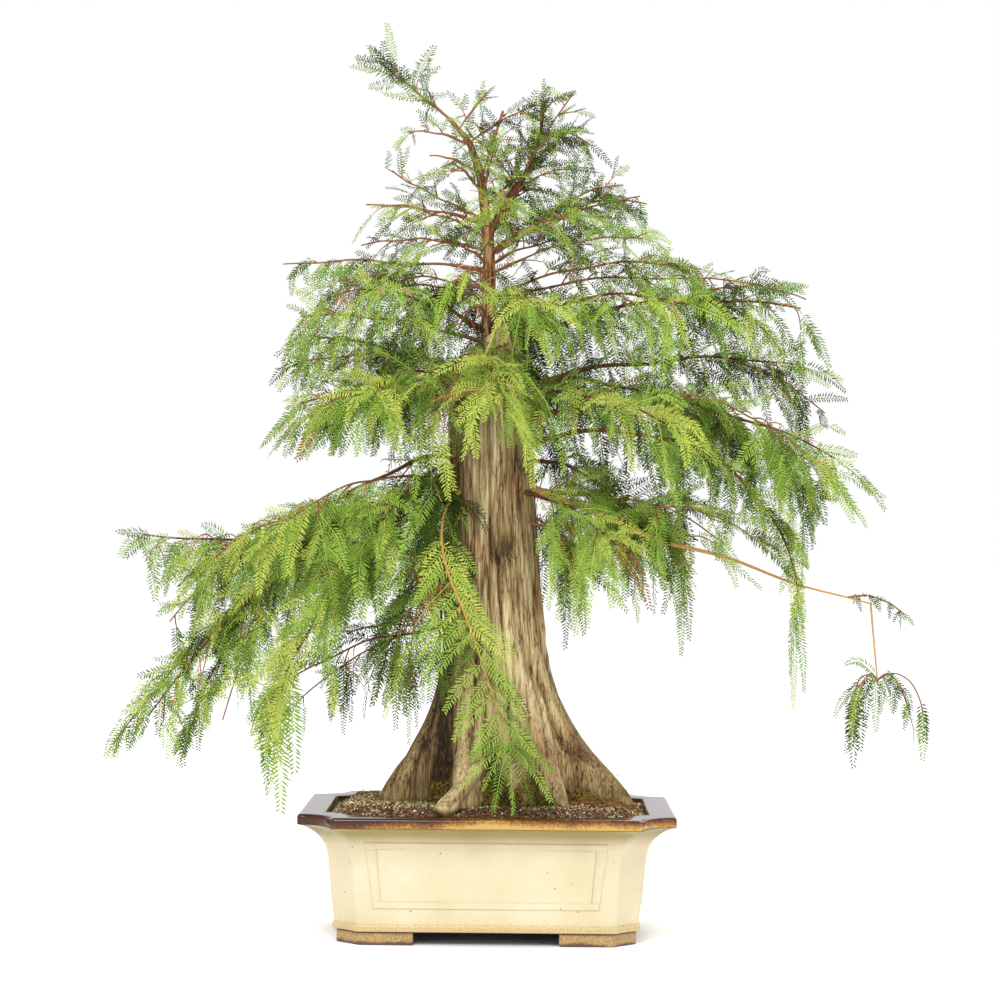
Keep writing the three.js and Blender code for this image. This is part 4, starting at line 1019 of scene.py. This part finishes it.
def make_surface_root(bark):
    """A thin root in front of the trunk, which runs out over the soil."""
    rng = np.random.default_rng(SEED + 5)
    points = np.stack([spaced(axis, SURFACE_ROOT_STEPS) for axis in np.array(SURFACE_ROOT, float).T], -1)
    for _ in range(6):
        points[1:-1] = (points[:-2] + 2 * points[1:-1] + points[2:]) / 4
    turn, level = around(SURFACE_ROOT_SIDES, np.linspace(0, 1, SURFACE_ROOT_STEPS)[:, None])
    knobs = soft_noise(rng, 4, 6, turn, level)
    fibres = soft_noise(rng, 16, 8, turn, level)
    radii = spaced(SURFACE_ROOT_RADII, SURFACE_ROOT_STEPS)
    whole, faces = tube(points, radii, SURFACE_ROOT_SIDES, 0.8 + 0.34 * knobs + 0.1 * fibres)
    grain = np.append((0.2 + 0.3 * knobs + 0.3 * fibres).ravel(), [0.3, 0.3])
    moss = np.clip((SOIL_TOP + 3 - whole[:, 2]) / 5, 0, 1) * 0.8
    array_piece("surface_root_1", whole, faces, bark, "bark", smooth=True, grain=grain, moss=moss)


def make_scar(edge, material, rng):
    """The face of the old cut: a shallow dish of cracked dead wood inside a lip of bark."""
    middle = edge.mean(0)
    shares = np.linspace(1, 0.02, SCAR_RINGS)[:, None, None]
    points = middle + (edge - middle)[None] * shares
    turn, level = around(len(edge), 1 - shares[..., 0])
    cracks = ridged(soft_noise(rng, 26, 5, turn, level))
    lip = 2.5 * np.sin(np.pi * np.clip(4 * level, 0, 1))
    points[..., 2] += lip - 5 * level ** 0.5 + 2.2 * (cracks - 0.5) * level
    faces = ring_faces(SCAR_RINGS, len(edge))
    hub = len(edge) * SCAR_RINGS
    last = hub - len(edge)
    here = np.arange(len(edge))
    cap = np.stack([last + here, last + (here + 1) % len(edge), np.full(len(edge), hub)], -1)
    whole = np.concatenate([points.reshape(-1, 3), points[-1].mean(0)[None]])
    grain = np.append(np.clip(0.25 + 0.7 * cracks, 0, 1).ravel(), 0.3)
    triangles = np.concatenate([halves(faces), cap])
    array_piece("chop_scar", whole, triangles, material, "bark", smooth=True, grain=grain, moss=0 * grain)


# Limbs

def bend(start, leave, arrive, length, shares):
    """Points and headings on a curve that leaves in one direction and arrives in another."""
    middle = start + leave * length / 2
    finish = middle + arrive * length / 2
    t = np.asarray(shares)[:, None]
    points = (1 - t) ** 2 * start + 2 * t * (1 - t) * middle + t ** 2 * finish
    return points, unit((1 - t) * (middle - start) + t * (finish - middle))


def tube(points, radii, sides, roughness=None):
    """A tapering tube along points, closed at both ends, as arrays of points and triangles."""
    headings = unit(np.gradient(points, axis=0))
    flat = np.cross(headings[0], headings[-1])
    if np.linalg.norm(flat) < 0.05:
        flat = np.cross(headings[0], (0.2, -0.3, 1.0) if abs(headings[0][2]) < 0.8 else (1.0, 0.3, 0.2))
    across = unit(flat - headings * (headings @ flat)[:, None])
    other = np.cross(headings, across)
    turn = 2 * math.pi * np.arange(sides) / sides
    out = across[:, None] * np.cos(turn)[None, :, None] + other[:, None] * np.sin(turn)[None, :, None]
    size = np.asarray(radii)[:, None]
    if roughness is not None:
        size = size * roughness
    rings = points[:, None] + out * np.broadcast_to(size, (len(points), sides))[..., None]
    quads = ring_faces(len(points), sides)
    last = (len(points) - 1) * sides
    here = np.arange(sides)
    after = (here + 1) % sides
    start_hub = len(points) * sides
    caps = np.concatenate([np.stack([after, here, np.full(sides, start_hub)], -1),
                           np.stack([last + here, last + after, np.full(sides, start_hub + 1)], -1)])
    faces = np.concatenate([halves(quads), caps])
    return np.concatenate([rings.reshape(-1, 3), points[:1], points[-1:]]), faces


def leader_points(count):
    """Places along the leader, from the chop to its tip."""
    z, x = [spaced(knots, count) for knots in np.array(LEADER, float).T]
    kernel = np.array([0.25, 0.5, 0.25])
    for _ in range(count // 8):
        x[1:-1] = np.convolve(x, kernel, "valid")
        z[1:-1] = np.convolve(z, kernel, "valid")
    return np.stack([x, np.zeros(count), z], -1)


def axis_at(z):
    """The middle of the trunk or of its leader at height z."""
    if z < LEADER[0][0]:
        return np.array([trunk_axis_x(z), 0.0, z])
    heights, offsets = np.array(LEADER, float).T
    return np.array([np.interp(z, heights, offsets), 0.0, z])


def limb_points(limb, shares):
    """Places along a limb at shares of its way."""
    t = np.asarray(shares, float)
    angle = np.radians(limb.azimuth + limb.swing * t)
    out = limb.reach * (1 - (1 - t) ** limb.weep)
    z = limb.root[2] * (1 - t) + limb.end * t + 4 * limb.arch * t * (1 - t)
    places = np.stack([limb.root[0] + out * np.cos(angle), limb.root[1] + out * np.sin(angle), z], -1)
    sway = np.sin(math.pi * t) * limb.reach * 0.012
    aside = np.stack([-np.sin(angle), np.cos(angle), 0.7 * np.ones_like(t)], -1)
    wave = np.sin(2 * math.pi * (limb.waves * t + limb.phase))
    return places + aside * (sway * wave)[:, None]


def limb_radius(limb, t):
    """A limb's radius at shares of its way."""
    base = limb.radius * BOUGH_SHARE
    return base + (STEM_TIP - base) * np.asarray(t) ** STEM_TAPER


def lay_out_limbs():
    """Places each limb on the trunk, on the leader or on a limb before it, with random draws of its own."""
    laid = {}
    for index, limb in enumerate(LIMBS + FINE_LIMBS):
        limb.rng = np.random.default_rng(SEED + 97 * index)
        limb.waves = 2 + limb.rng.random()
        limb.phase = limb.rng.random()
        limb.rooted = not isinstance(limb.stem, tuple)
        limb.root = axis_at(limb.stem) if limb.rooted else limb_points(laid[limb.stem[0]], [limb.stem[1]])[0]
        places = limb_points(limb, np.linspace(0, 1, BOUGH_STEPS))
        limb.length = np.linalg.norm(np.diff(places, axis=0), axis=1).sum()
        laid[limb.name] = limb
    return list(laid.values())


def make_limbs(limbs, bark):
    """The boughs and the stems that go on from them into the masses."""
    heap = Heap("bough_bark", bark, "bough_bark")
    young = Heap("young_stems", twig_material("young_stem_bark", "#87593A"), "bough_bark")
    pale = Heap("pale_stems", twig_material("pale_stem_bark", "#B08648"), "bough_bark")
    for limb in limbs:
        shares = np.linspace(0, 1, BOUGH_STEPS) ** 1.2
        points = limb_points(limb, shares)
        radii = limb_radius(limb, shares)
        if limb.rooted:
            out = np.hypot(points[:, 0] - limb.root[0], points[:, 1])
            skin = TRUNK_RADIUS if limb.stem < TRUNK_SHOULDER else LEADER_RADIUS + 12
            radii = radii * (1 + COLLAR * np.exp(-((out - skin) / COLLAR_WIDTH) ** 2))
        sides = BOUGH_SIDES if limb.radius > 3 else STEM_SIDES
        rough = 1 + 0.09 * (limb.rng.random((BOUGH_STEPS, sides)) - 0.5) * 2
        pile = pale if limb.pale or limb.form == "frond" else young if limb.radius < 4 else heap
        pile.add(*tube(points, radii, sides, rough))
    young.pieces()
    pale.pieces()
    return heap


def make_leader(bark):
    """The thin leader that goes on from the chop, with strips and fibres in its bark."""
    rng = np.random.default_rng(SEED + 4)
    share = np.linspace(0, 1, LEADER_STEPS)
    radii = LEADER_RADIUS + (LEADER_TIP - LEADER_RADIUS) * share ** 0.8
    turn, level = around(LEADER_SIDES, share[:, None])
    strips = ridged(soft_noise(rng, 12, 14, turn, level))
    fibres = soft_noise(rng, 28, 40, turn, level)
    rough = 0.86 + 0.2 * strips + 0.12 * fibres
    points, faces = tube(leader_points(LEADER_STEPS), radii, LEADER_SIDES, rough)
    grain = np.append((0.1 + 0.45 * strips + 0.4 * fibres).ravel(), [0.4, 0.4])
    array_piece("leader_bark", points, faces, bark, "bark", smooth=True, grain=grain, moss=0 * grain)


# Foliage

def needles_on(points, headings, facing, length, rng):
    """Two ranks of needles along a curve given by evenly spaced points, as arrays."""
    count = len(points)
    share = np.linspace(0, 1, count)
    grown = (0.66 + 0.34 * np.sin(np.pi * np.minimum(1, 0.15 + 1.0 * share))) * (1 - 0.35 * share ** 6)
    across = unit(np.cross(facing, headings))
    normal = np.cross(headings, across)
    side = np.where(np.arange(count) % 2 == 0, 1.0, -1.0)[:, None]
    angle = np.radians(64 - 12 * share ** 2 + rng.normal(0, 6, count))[:, None]
    out = headings * np.cos(angle) + across * side * np.sin(angle) + normal * rng.normal(0, 0.16, (count, 1))
    out[:, 2] -= 0.1
    out = unit(out)
    size = (length * grown * rng.uniform(0.85, 1.08, count))[:, None]
    wide = unit(np.cross(normal, out)) * (0.48 + 0.034 * length)
    belly = points + out * size * 0.45 + normal * 0.3
    shape = np.stack([points, belly - wide, points + out * size, belly + wide], 1)
    start = 4 * np.arange(count)[:, None]
    faces = np.concatenate([start + [0, 1, 2], start + [0, 2, 3]])
    return shape.reshape(-1, 3), faces


def clear_of_trunk(points):
    """Whether points stand off the bark, or above the chop."""
    x = points[:, 0] - trunk_axis_x(points[:, 2])
    radius = np.hypot(x, points[:, 1])
    bark = trunk_radius(np.arctan2(points[:, 1], x), points[:, 2])
    return bool(np.all((radius > bark + TRUNK_CLEAR) | (points[:, 2] > CHOP_HEIGHT + CHOP_RADIUS)))


def clear_of_pot(points):
    """Whether points keep above the soil over the pot, and above the ground beside it."""
    over = (np.abs(points[:, 0]) < POT_WIDTH / 2 + 5) & (np.abs(points[:, 1]) < POT_DEPTH / 2 + 5)
    return bool(np.all(points[:, 2] > np.where(over, SOIL_TOP + 3, 12)))


def seen(points):
    """Where points stand from the front, across and up, in the plane of the trunk."""
    nearer = VIEW_DISTANCE / (VIEW_DISTANCE + points[:, 1])
    z = VIEW_HEIGHT + (points[:, 2] - VIEW_HEIGHT) * nearer
    return points[:, 0] * nearer + VIEW_LEAN * z, z


def in_gap(points, rng):
    """Whether a spray lies where sky or bark shows, with a few let through."""
    x, z = seen(points)
    gaps = np.array(SKY_GAPS + (BARE_BARK if points[0, 1] < 0 else []), float)
    off = ((x[:, None] - gaps[:, 0]) / gaps[:, 2]) ** 2 + ((z[:, None] - gaps[:, 1]) / gaps[:, 3]) ** 2
    return bool((off < 1).any()) and rng.random() < GAP_SHARE


def in_outline(points):
    """Whether all of a twig keeps within the crown's outline, as seen from the front."""
    x, z = seen(points)
    heights, left, right = np.array(CROWN_SIDES, float).T
    width, skirt = np.array(CROWN_SKIRT, float).T
    within = (x > np.interp(z, heights, left)) & (x < np.interp(z, heights, right))
    return bool(np.all(within & (z > np.interp(x, width, skirt))))


def needle_heap(tone, colour):
    """A heap for needles of one colour."""
    return Heap(f"needles_{tone}", needle_material(f"needles_{tone}", colour), "needles")


class Crown:
    """All the twigs and needles, each kind in its own heap."""

    def __init__(self):
        self.tones = [needle_heap(tone, colour) for tone, colour in NEEDLE_COLOURS]
        self.rust = needle_heap("rust", "#7E5434")
        self.brown = Heap("twigs_brown", twig_material("twig_red_brown", "#7C4A2C"), "bough_bark")
        self.tan = Heap("twigs_tan", twig_material("twig_tan", "#B98352"), "bough_bark")

    def feather(self, limb, start, leave, arrive, length, needle, tone):
        """One drooping axis with two ranks of needles, shorter where it would pass the crown's outline. False
        where it has no room."""
        rng = limb.rng
        pitch = 0.94 + 0.074 * needle
        count = max(8, int(length / pitch))
        points, headings = bend(start, leave, arrive, length, np.linspace(0.03, 1, count))
        tests = points[count // 3::max(1, count // 5)]
        if not (clear_of_trunk(tests) and clear_of_pot(tests)):
            return False
        if not (limb.free or in_outline(points[[count // 2, count - 1]])):
            if length < SHORTEST_FEATHER:
                return False
            return self.feather(limb, start, leave, arrive, length * FEATHER_CUT, needle * 0.9, tone)
        if not limb.free and in_gap(points[[count // 2, count - 1]], rng):
            return False
        facing = unit(np.array([0.0, -0.75, 0.35]) + rng.normal(0, 0.3 if limb.free else 0.62, 3))
        kind = int(np.searchsorted(TONES, tone + rng.normal(0, 0.19)))
        heap = self.rust if rng.random() < RUST_SHARE else self.tones[kind]
        heap.add(*needles_on(points, headings, facing, needle, rng))
        picks = points[[0, count // 2, count - 1]]
        self.tones[min(4, kind + 1)].add(*tube(picks, [0.5, 0.42, 0.2], 3))
        return True

    def shoot(self, limb, start, leave, length, tone):
        """A hanging shoot: one feather, or a long one with shorter ones on its upper half."""
        rng = limb.rng
        fall = limb.droop * rng.uniform(0.35, 1.05)
        arrive = unit(leave * (1.1 - 0.7 * fall) + DOWN * fall + rng.normal(0, 0.16, 3))
        needle = limb.needle * np.clip(0.62 + 0.005 * length, 0.7, 1.25) * rng.uniform(0.88, 1.1)
        if not self.feather(limb, start, leave, arrive, length, needle, tone):
            return False
        if length < COMPOUND or rng.random() < 0.35:
            return True
        count = int(0.6 * length / SIDE_PITCH)
        shares = 0.08 + 0.5 * (np.arange(count) + rng.uniform(0, 0.6)) / max(1, count)
        points, headings = bend(start, leave, arrive, length, shares)
        across = unit(np.cross(headings[0], rng.normal(0, 1, 3)))
        for index in range(count):
            side = unit(headings[index] + across * (0.75 if index % 2 else -0.75) + rng.normal(0, 0.15, 3))
            finish = unit(side + 0.9 * DOWN * limb.droop + 0.4 * headings[index])
            reach = length * rng.uniform(0.34, 0.52)
            self.feather(limb, points[index], side, finish, reach, needle * 0.8, tone)
        return True

    def twig(self, limb, start, leave, reach, tone):
        """A side twig that arches over, with shoots to its left and right in turn and one at its end."""
        rng = limb.rng
        arrive = unit(leave * (1.1 - 0.6 * limb.droop) + 0.8 * DOWN * limb.droop + rng.normal(0, 0.14, 3))
        points, headings = bend(start, leave, arrive, reach, np.linspace(0, 1, TWIG_STEPS))
        if not clear_of_trunk(points[3:]):
            return
        if not (limb.free or in_outline(points[3:])):
            if reach > SHORTEST_TWIG:
                self.twig(limb, start, leave, reach * TWIG_CUT, tone)
            return
        wood = self.brown if rng.random() < 0.5 else self.tan
        leafy = 0.0
        count = max(2, round(reach / SHOOT_PITCH))
        shares = (np.arange(count) + 0.6) / (count + 0.2)
        bases, ways = bend(start, leave, arrive, reach, shares)
        for index in range(count):
            hand = 1 if index % 2 else -1
            across = unit(np.cross(ways[index], unit(DOWN + rng.normal(0, 0.5, 3)))) * hand
            way = unit(ways[index] * rng.uniform(0.5, 0.9) + across * 0.8 + rng.normal(0, 0.16, 3))
            length = limb.hang * rng.uniform(0.42, 0.86) * (1.05 - 0.3 * shares[index])
            if self.shoot(limb, bases[index], way, length, tone):
                leafy = shares[index]
        if self.shoot(limb, points[-1], headings[-1], limb.hang * rng.uniform(0.6, 0.95), tone):
            leafy = 1.0
        if leafy:
            points = bend(start, leave, arrive, reach, np.linspace(0, leafy, TWIG_STEPS))[0]
            wood.add(*tube(points, np.linspace(0.95, 0.5, TWIG_STEPS), 4))

    def sessile(self, limb, base, ahead, level, above, tone):
        """Feathers straight on the stem: one up or to the side, and often one below."""
        rng = limb.rng
        roll = math.radians(rng.uniform(-30, 120))
        way = unit(0.75 * ahead + 0.8 * (level * math.cos(roll) + above * math.sin(roll)))
        arrive = unit(way + (0, 0, -0.7 * limb.droop * rng.random()) + rng.normal(0, 0.15, 3))
        needle = limb.needle * rng.uniform(0.75, 0.95)
        self.feather(limb, base, way, arrive, limb.hang * rng.uniform(0.35, 0.6), needle, tone + 0.05)
        if rng.random() < 0.6:
            hanging = unit(ahead * 0.7 + (0, 0, -0.7 * limb.droop) + rng.normal(0, 0.3, 3))
            self.shoot(limb, base, hanging, limb.hang * rng.uniform(0.5, 0.9), tone)

    def tassel(self, limb):
        """Long feathers side by side, which hang straight from the end of a bare stem."""
        for share, aside, length in TASSEL:
            base = limb_points(limb, [share])[0]
            way = unit(DOWN + (0.05 * aside, 0, 0.3))
            finish = unit(DOWN + (0.004 * aside, 0, 0))
            self.feather(limb, base, way, finish, limb.hang * length, limb.needle, limb.tone)

    def frond(self, limb):
        """One long shoot with feathers to its left and right in turn, and a fan of them at its end."""
        rng = limb.rng
        count = round(limb.length * (1 - limb.bare) / limb.spread)
        shares = limb.bare + (1 - limb.bare) * (np.arange(count) + 0.5) / count
        bases = limb_points(limb, shares)
        for index in range(count):
            through = index / count
            side = np.array([1.0 if index % 2 else -1.0, -0.3, 0.0])
            way = unit(0.7 * DOWN + 0.85 * side + rng.normal(0, 0.12, 3))
            finish = unit(way + 0.8 * DOWN)
            length = limb.hang * (0.75 + 0.45 * math.sin(math.pi * through)) * rng.uniform(0.85, 1.15)
            tone = limb.tone + 0.34 - 0.4 * through
            self.feather(limb, bases[index], way, finish, length, limb.needle, tone)
        for angle, length in FAN:
            turn = math.radians(angle)
            way = np.array([math.sin(turn), -0.25, -math.cos(turn)])
            finish = unit(way + 0.7 * DOWN)
            self.feather(limb, bases[-1], unit(way), finish, limb.hang * length, limb.needle, limb.tone)

    def mass(self, limb):
        """All that grows from one limb's stem."""
        if limb.bare == 1:
            return
        if limb.form == "tassel":
            self.tassel(limb)
            return
        if limb.form == "frond":
            self.frond(limb)
            return
        rng = limb.rng
        first = max(limb.bare * 0.9, limb.clear / limb.length if limb.rooted else 0.0)
        count = max(3, round(limb.length * (1 - first) / TWIG_PITCH))
        shares = first + (1 - first) * (np.arange(count) + 0.5) / count
        bases = limb_points(limb, shares)
        aheads = unit(limb_points(limb, np.minimum(1, shares + 0.01)) - limb_points(limb, shares - 0.01))
        for index in range(count):
            through = (shares[index] - first) / (1 - first)
            ahead = aheads[index]
            hand = 1 if index % 2 else -1
            level = unit(np.cross(ahead, UP)) * hand
            above = np.cross(level, ahead) * hand
            roll = math.radians(rng.uniform(-45, 85))
            leave = unit(0.6 * ahead + 0.85 * (level * math.cos(roll) + above * math.sin(roll)))
            lifted = 1 - 0.3 * max(0, math.sin(roll))
            reach = limb.spread * rng.uniform(0.65, 1.2) * (1 - 0.45 * through) * lifted
            # A random tone, plus painted light: lighter for twigs that lean up, and towards the limb's end
            tone = limb.tone + rng.normal(0, 0.12) + 0.12 * math.sin(roll) + 0.24 * (through - 0.6)
            # Painted shade: darker at the back and near the trunk, where the crown shades itself, and a
            # little darker in the top
            off_trunk, height = np.hypot(*bases[index][:2]), bases[index][2]
            inner = math.exp(-(off_trunk / INNER_REACH) ** 2) * (INNER_LOW < height < INNER_HIGH)
            tone -= 0.0009 * bases[index][1] + 0.26 * inner
            tone -= 0.05 * (height > INNER_HIGH)
            self.twig(limb, bases[index], leave, reach, tone)
            if not limb.free:
                self.sessile(limb, bases[index], ahead, level, above, tone)
        self.shoot(limb, limb_points(limb, [1.0])[0], aheads[-1], limb.hang * 0.8, limb.tone)


def make_crown(limbs):
    """All the foliage, grown limb by limb, in place of the solids' masses."""
    crown = Crown()
    for limb in limbs:
        crown.mass(limb)
    for heap in [*crown.tones, crown.rust, crown.brown, crown.tan]:
        pieces = heap.pieces()
        if heap is crown.tones[MID_TONE]:
            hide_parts(*[node for node in frame["nodes"] if node.startswith("mass_")])


# The soil

def mouth(inset):
    """Half the pot's mouth along x and along y, that much smaller all round."""
    return POT_WIDTH / 2 - RIM_LAND - inset, POT_DEPTH / 2 - RIM_LAND - inset


def mouth_depth(x, y):
    """How far a place lies inside the pot's mouth."""
    half_x, half_y = mouth(1)
    straight = np.minimum(half_x - np.abs(x), half_y - np.abs(y))
    corner = (half_x + half_y - RIM_NOTCH * 1.12 - np.abs(x) - np.abs(y)) / math.sqrt(2)
    return np.minimum(straight, corner)


def soil_height(x, y):
    """A gentle dome that drops towards the pot's wall."""
    dome = smoothstep(0, SOIL_BLEND, mouth_depth(x, y))
    wave = np.sin(x / 17 + 1.3) * np.sin(y / 13) + 0.6 * np.sin(x / 7.3) * np.cos(y / 6.1)
    return SOIL_EDGE + (SOIL_TOP - SOIL_EDGE) * dome + 0.9 * wave * dome


def make_soil():
    """The bed of soil as a grid inside the pot's mouth, and the grains on it."""
    rng = np.random.default_rng(SEED + 1)
    half_x, half_y = mouth(-1)
    rows = round(SOIL_GRID * half_y / half_x)
    x, y = np.meshgrid(np.linspace(-half_x, half_x, SOIL_GRID), np.linspace(-half_y, half_y, rows))
    z = soil_height(x, y) + rng.normal(0, 0.35, x.shape)
    outside = mouth_depth(x, y) < -1
    z = np.where(outside, SOIL_EDGE - 8, z)
    index = np.arange(rows * SOIL_GRID).reshape(rows, SOIL_GRID)
    faces = np.stack([index[:-1, :-1], index[:-1, 1:], index[1:, 1:], index[1:, :-1]], -1).reshape(-1, 4)
    keep = ~outside.ravel()[faces].all(1)
    bed = array_piece("soil_bed", np.stack([x, y, z], -1).reshape(-1, 3), faces[keep], soil_material(),
                      "soil_grit", smooth=True)
    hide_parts("soil")
    scatter_grains(rng)


def on_open_soil(rng, count):
    """Places on the soil that the trunk doesn't cover."""
    half_x, half_y = mouth(2)
    x = rng.uniform(-half_x, half_x, count)
    y = rng.uniform(-half_y, half_y, count)
    along = x - TRUNK_FOOT_X
    bark = trunk_radius(np.arctan2(y, along), np.full(count, SOIL_TOP))
    free = (mouth_depth(x, y) > 1.5) & (np.hypot(along, y) > bark - 6)
    return x[free], y[free]


def scatter_grains(rng):
    """Grit of five stones and lumps of it, each an uneven octahedron."""
    heaps = [Heap(name, grain_material(name, colour, rough), "soil_grit")
             for name, colour, rough, _ in STONES]
    shares = np.cumsum([stone[3] for stone in STONES])
    corners = np.array([[1, 0, 0], [0, 1, 0], [-1, 0, 0], [0, -1, 0], [0, 0, 1], [0, 0, -1]], float)
    sides = np.array([[0, 1, 4], [1, 2, 4], [2, 3, 4], [3, 0, 4], [1, 0, 5], [2, 1, 5], [3, 2, 5], [0, 3, 5]])
    for total, small, large in ((GRAINS, 0.7, 1.8), (LUMPS, 1.9, 3.1)):
        xs, ys = on_open_soil(rng, total)
        for x, y in zip(xs, ys):
            size = rng.uniform(small, large) * rng.uniform(0.65, 1.2, 3) * (1, 1, 0.75)
            turn = rng.uniform(0, 2 * math.pi)
            sine, cosine = math.sin(turn), math.cos(turn)
            spin = np.array([[cosine, -sine, 0], [sine, cosine, 0], [0, 0, 1]])
            shape = (corners + rng.uniform(-0.22, 0.22, corners.shape)) * size @ spin.T
            place = np.array([x, y, soil_height(x, y) + size[2] * rng.uniform(0.1, 0.7)])
            damp = math.exp(-((x - DAMP_X) / DAMP_WIDTH) ** 2 - ((y - DAMP_Y) / DAMP_DEPTH) ** 2)
            dark = rng.random() < DAMP_SHARE * damp
            kind = DARK_STONE if dark else int(np.searchsorted(shares, rng.random() * shares[-1]))
            heaps[kind].add(shape + place, sides)
    for heap in heaps:
        heap.pieces()


def make_moss():
    """Short moss blades in the hollows between the roots and on the soil round them."""
    rng = np.random.default_rng(SEED + 2)
    heaps = [Heap(name, grain_material(name, colour, 0.9), "soil_grit")
             for name, colour in (("moss_bright", "#6C6C22"), ("moss_dark", "#453A14"))]
    sides = np.array([[0, 1, 3], [1, 2, 3], [2, 0, 3], [1, 0, 2]])
    angle = rng.uniform(0, 2 * math.pi, MOSS_TUFTS)
    on_bark = rng.random(MOSS_TUFTS) < MOSS_ON_BARK
    flare = root_flare(np.full(MOSS_TUFTS, SOIL_TOP))
    hollow = 1 - smoothstep(HOLLOW, HOLLOW_END, trunk_lobes(angle, flare))
    above = np.where(on_bark, rng.exponential(4 + 7 * hollow), 0)
    past = np.where(on_bark, 0.4, rng.exponential(7, MOSS_TUFTS))
    radius = trunk_radius(angle, SOIL_TOP + above) + past
    patch = np.sin(5 * angle + 1.1) + np.sin(11 * angle) + 1.2 * hollow
    x = TRUNK_FOOT_X + radius * np.cos(angle)
    y = radius * np.sin(angle)
    ground = soil_height(x, y)
    for i in range(MOSS_TUFTS):
        if patch[i] < 0.1 or mouth_depth(x[i], y[i]) < 3:
            continue
        base = np.array([x[i], y[i], (SOIL_TOP if on_bark[i] else ground[i]) + above[i]])
        outward = np.array([math.cos(angle[i]), math.sin(angle[i]), 0.0])
        up = unit(outward * (0.8 if on_bark[i] else 0.1) + (0, 0, 1) + rng.normal(0, 0.35, 3))
        wide = unit(np.cross(up, rng.normal(0, 1, 3))) * rng.uniform(0.5, 0.9)
        deep = np.cross(up, wide)
        tall = rng.uniform(1.8, 4.2)
        shape = np.array([base - wide, base + wide, base + deep, base + up * tall])
        heaps[int(rng.random() < MOSS_DARK)].add(shape, sides)
    for heap in heaps:
        heap.pieces()


def make_fibres():
    """Fine red feeder roots that lie on the soil at the foot of the right-hand root."""
    rng = np.random.default_rng(SEED + 3)
    heap = Heap("root_fibres", twig_material("root_red", "#80502E"), "bough_bark")
    for _ in range(ROOT_FIBRES):
        x = rng.normal(FIBRES_X, 16)
        y = rng.normal(FIBRES_Y, 12)
        turn = rng.normal(math.radians(20), 0.8)
        length = rng.uniform(14, 38)
        t = np.linspace(-0.5, 0.5, FIBRE_POINTS)
        curl = rng.normal(0, 5) * (t * 2) ** 2 + rng.normal(0, 1, FIBRE_POINTS)
        xs = x + length * t * math.cos(turn) - curl * math.sin(turn)
        ys = y + length * t * math.sin(turn) + curl * math.cos(turn)
        if mouth_depth(xs, ys).min() < 4:
            continue
        zs = soil_height(xs, ys) + 1.2 + rng.uniform(0, 2.5)
        heap.add(*tube(np.stack([xs, ys, zs], -1), np.linspace(0.55, 0.3, FIBRE_POINTS), 4))
    heap.pieces()


# The studio

def make_studio():
    """A white board on the standing level, three soft lamps and a white sky."""
    bpy.ops.mesh.primitive_grid_add(x_subdivisions=4, y_subdivisions=4, size=60, location=MIDDLE)
    floor = bpy.context.object
    floor.name = "studio_floor"
    floor.data.materials.append(floor_material())
    floor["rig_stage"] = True
    target = Vector((MIDDLE[0], MIDDLE[1], LAMP_TARGET))
    for name, place, size, power in LAMPS:
        lamp = bpy.data.lights.new(name, "AREA")
        lamp.energy = power
        lamp.size = size
        holder = bpy.data.objects.new(name, lamp)
        holder.location = Vector(place) + Vector(MIDDLE)
        holder.rotation_euler = (target - holder.location).to_track_quat("-Z", "Y").to_euler()
        bpy.context.scene.collection.objects.link(holder)
    world = bpy.data.worlds.new("studio_sky")
    bpy.context.scene.world = world
    world.use_nodes = True
    background = world.node_tree.nodes["Background"]
    background.inputs["Color"].default_value = linear("#FFFFFF")
    background.inputs["Strength"].default_value = 1.0
    bpy.context.scene.view_settings.view_transform = "Standard"


def make_camera():
    """The camera at the photo's place, turned the same way."""
    camera = bpy.data.cameras.new("camera")
    camera.lens = CAMERA_LENS
    camera.sensor_width = CAMERA_SENSOR
    camera.sensor_fit = "HORIZONTAL"
    holder = bpy.data.objects.new("camera", camera)
    holder.location = Vector(MIDDLE) + Vector(CAMERA_PLACE)
    turn, tilt, roll = [Matrix.Rotation(math.radians(angle), 3, axis) for angle, axis in
                        ((CAMERA_TURN, "Z"), (CAMERA_TILT, "X"), (CAMERA_ROLL, "Z"))]
    holder.rotation_euler = (turn @ tilt @ roll).to_euler()
    bpy.context.scene.collection.objects.link(holder)
    bpy.context.scene.camera = holder


bpy.ops.object.select_all(action="DESELECT")
make_camera()
make_studio()
make_pot(glaze_material())
foot = foot_material()
for foot_node in [name for name in frame["nodes"] if name.startswith("pot_foot")]:
    make_foot(foot_node, foot)
make_soil()
make_moss()
make_fibres()
trunk_stops = [(0.3, "#281B0C"), (0.5, "#655030"), (0.7, "#98825A"), (0.86, "#B8A578"), (1.0, "#D2C39C")]
scar_stops = [(0.3, "#1A0E08"), (0.65, "#46251A"), (1.0, "#7C4632")]
leader_stops = [(0.3, "#2E1A0E"), (0.6, "#5E3B22"), (0.85, "#855B38"), (1.0, "#B08A5E")]
bough_stops = [(0.15, "#43291A"), (0.42, "#71472C"), (0.62, "#9A7050")]
trunk_bark = bark_material("trunk_bark", trunk_stops, "#C98A62", moss=True)
make_trunk(trunk_bark, bark_material("scar_wood", scar_stops, "#C98A62"))
make_surface_root(trunk_bark)
make_leader(bark_material("leader_bark", leader_stops, "#D09A78"))
all_limbs = lay_out_limbs()
bough_pieces = make_limbs(all_limbs, bark_material("bough_bark", bough_stops, "#D0A080")).pieces()
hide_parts(*[node for node in frame["nodes"] if node.startswith("bough_")])
make_crown(all_limbs)

both = [[list(corner) for corner in bounds] for bounds in (cad_bounds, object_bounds())]
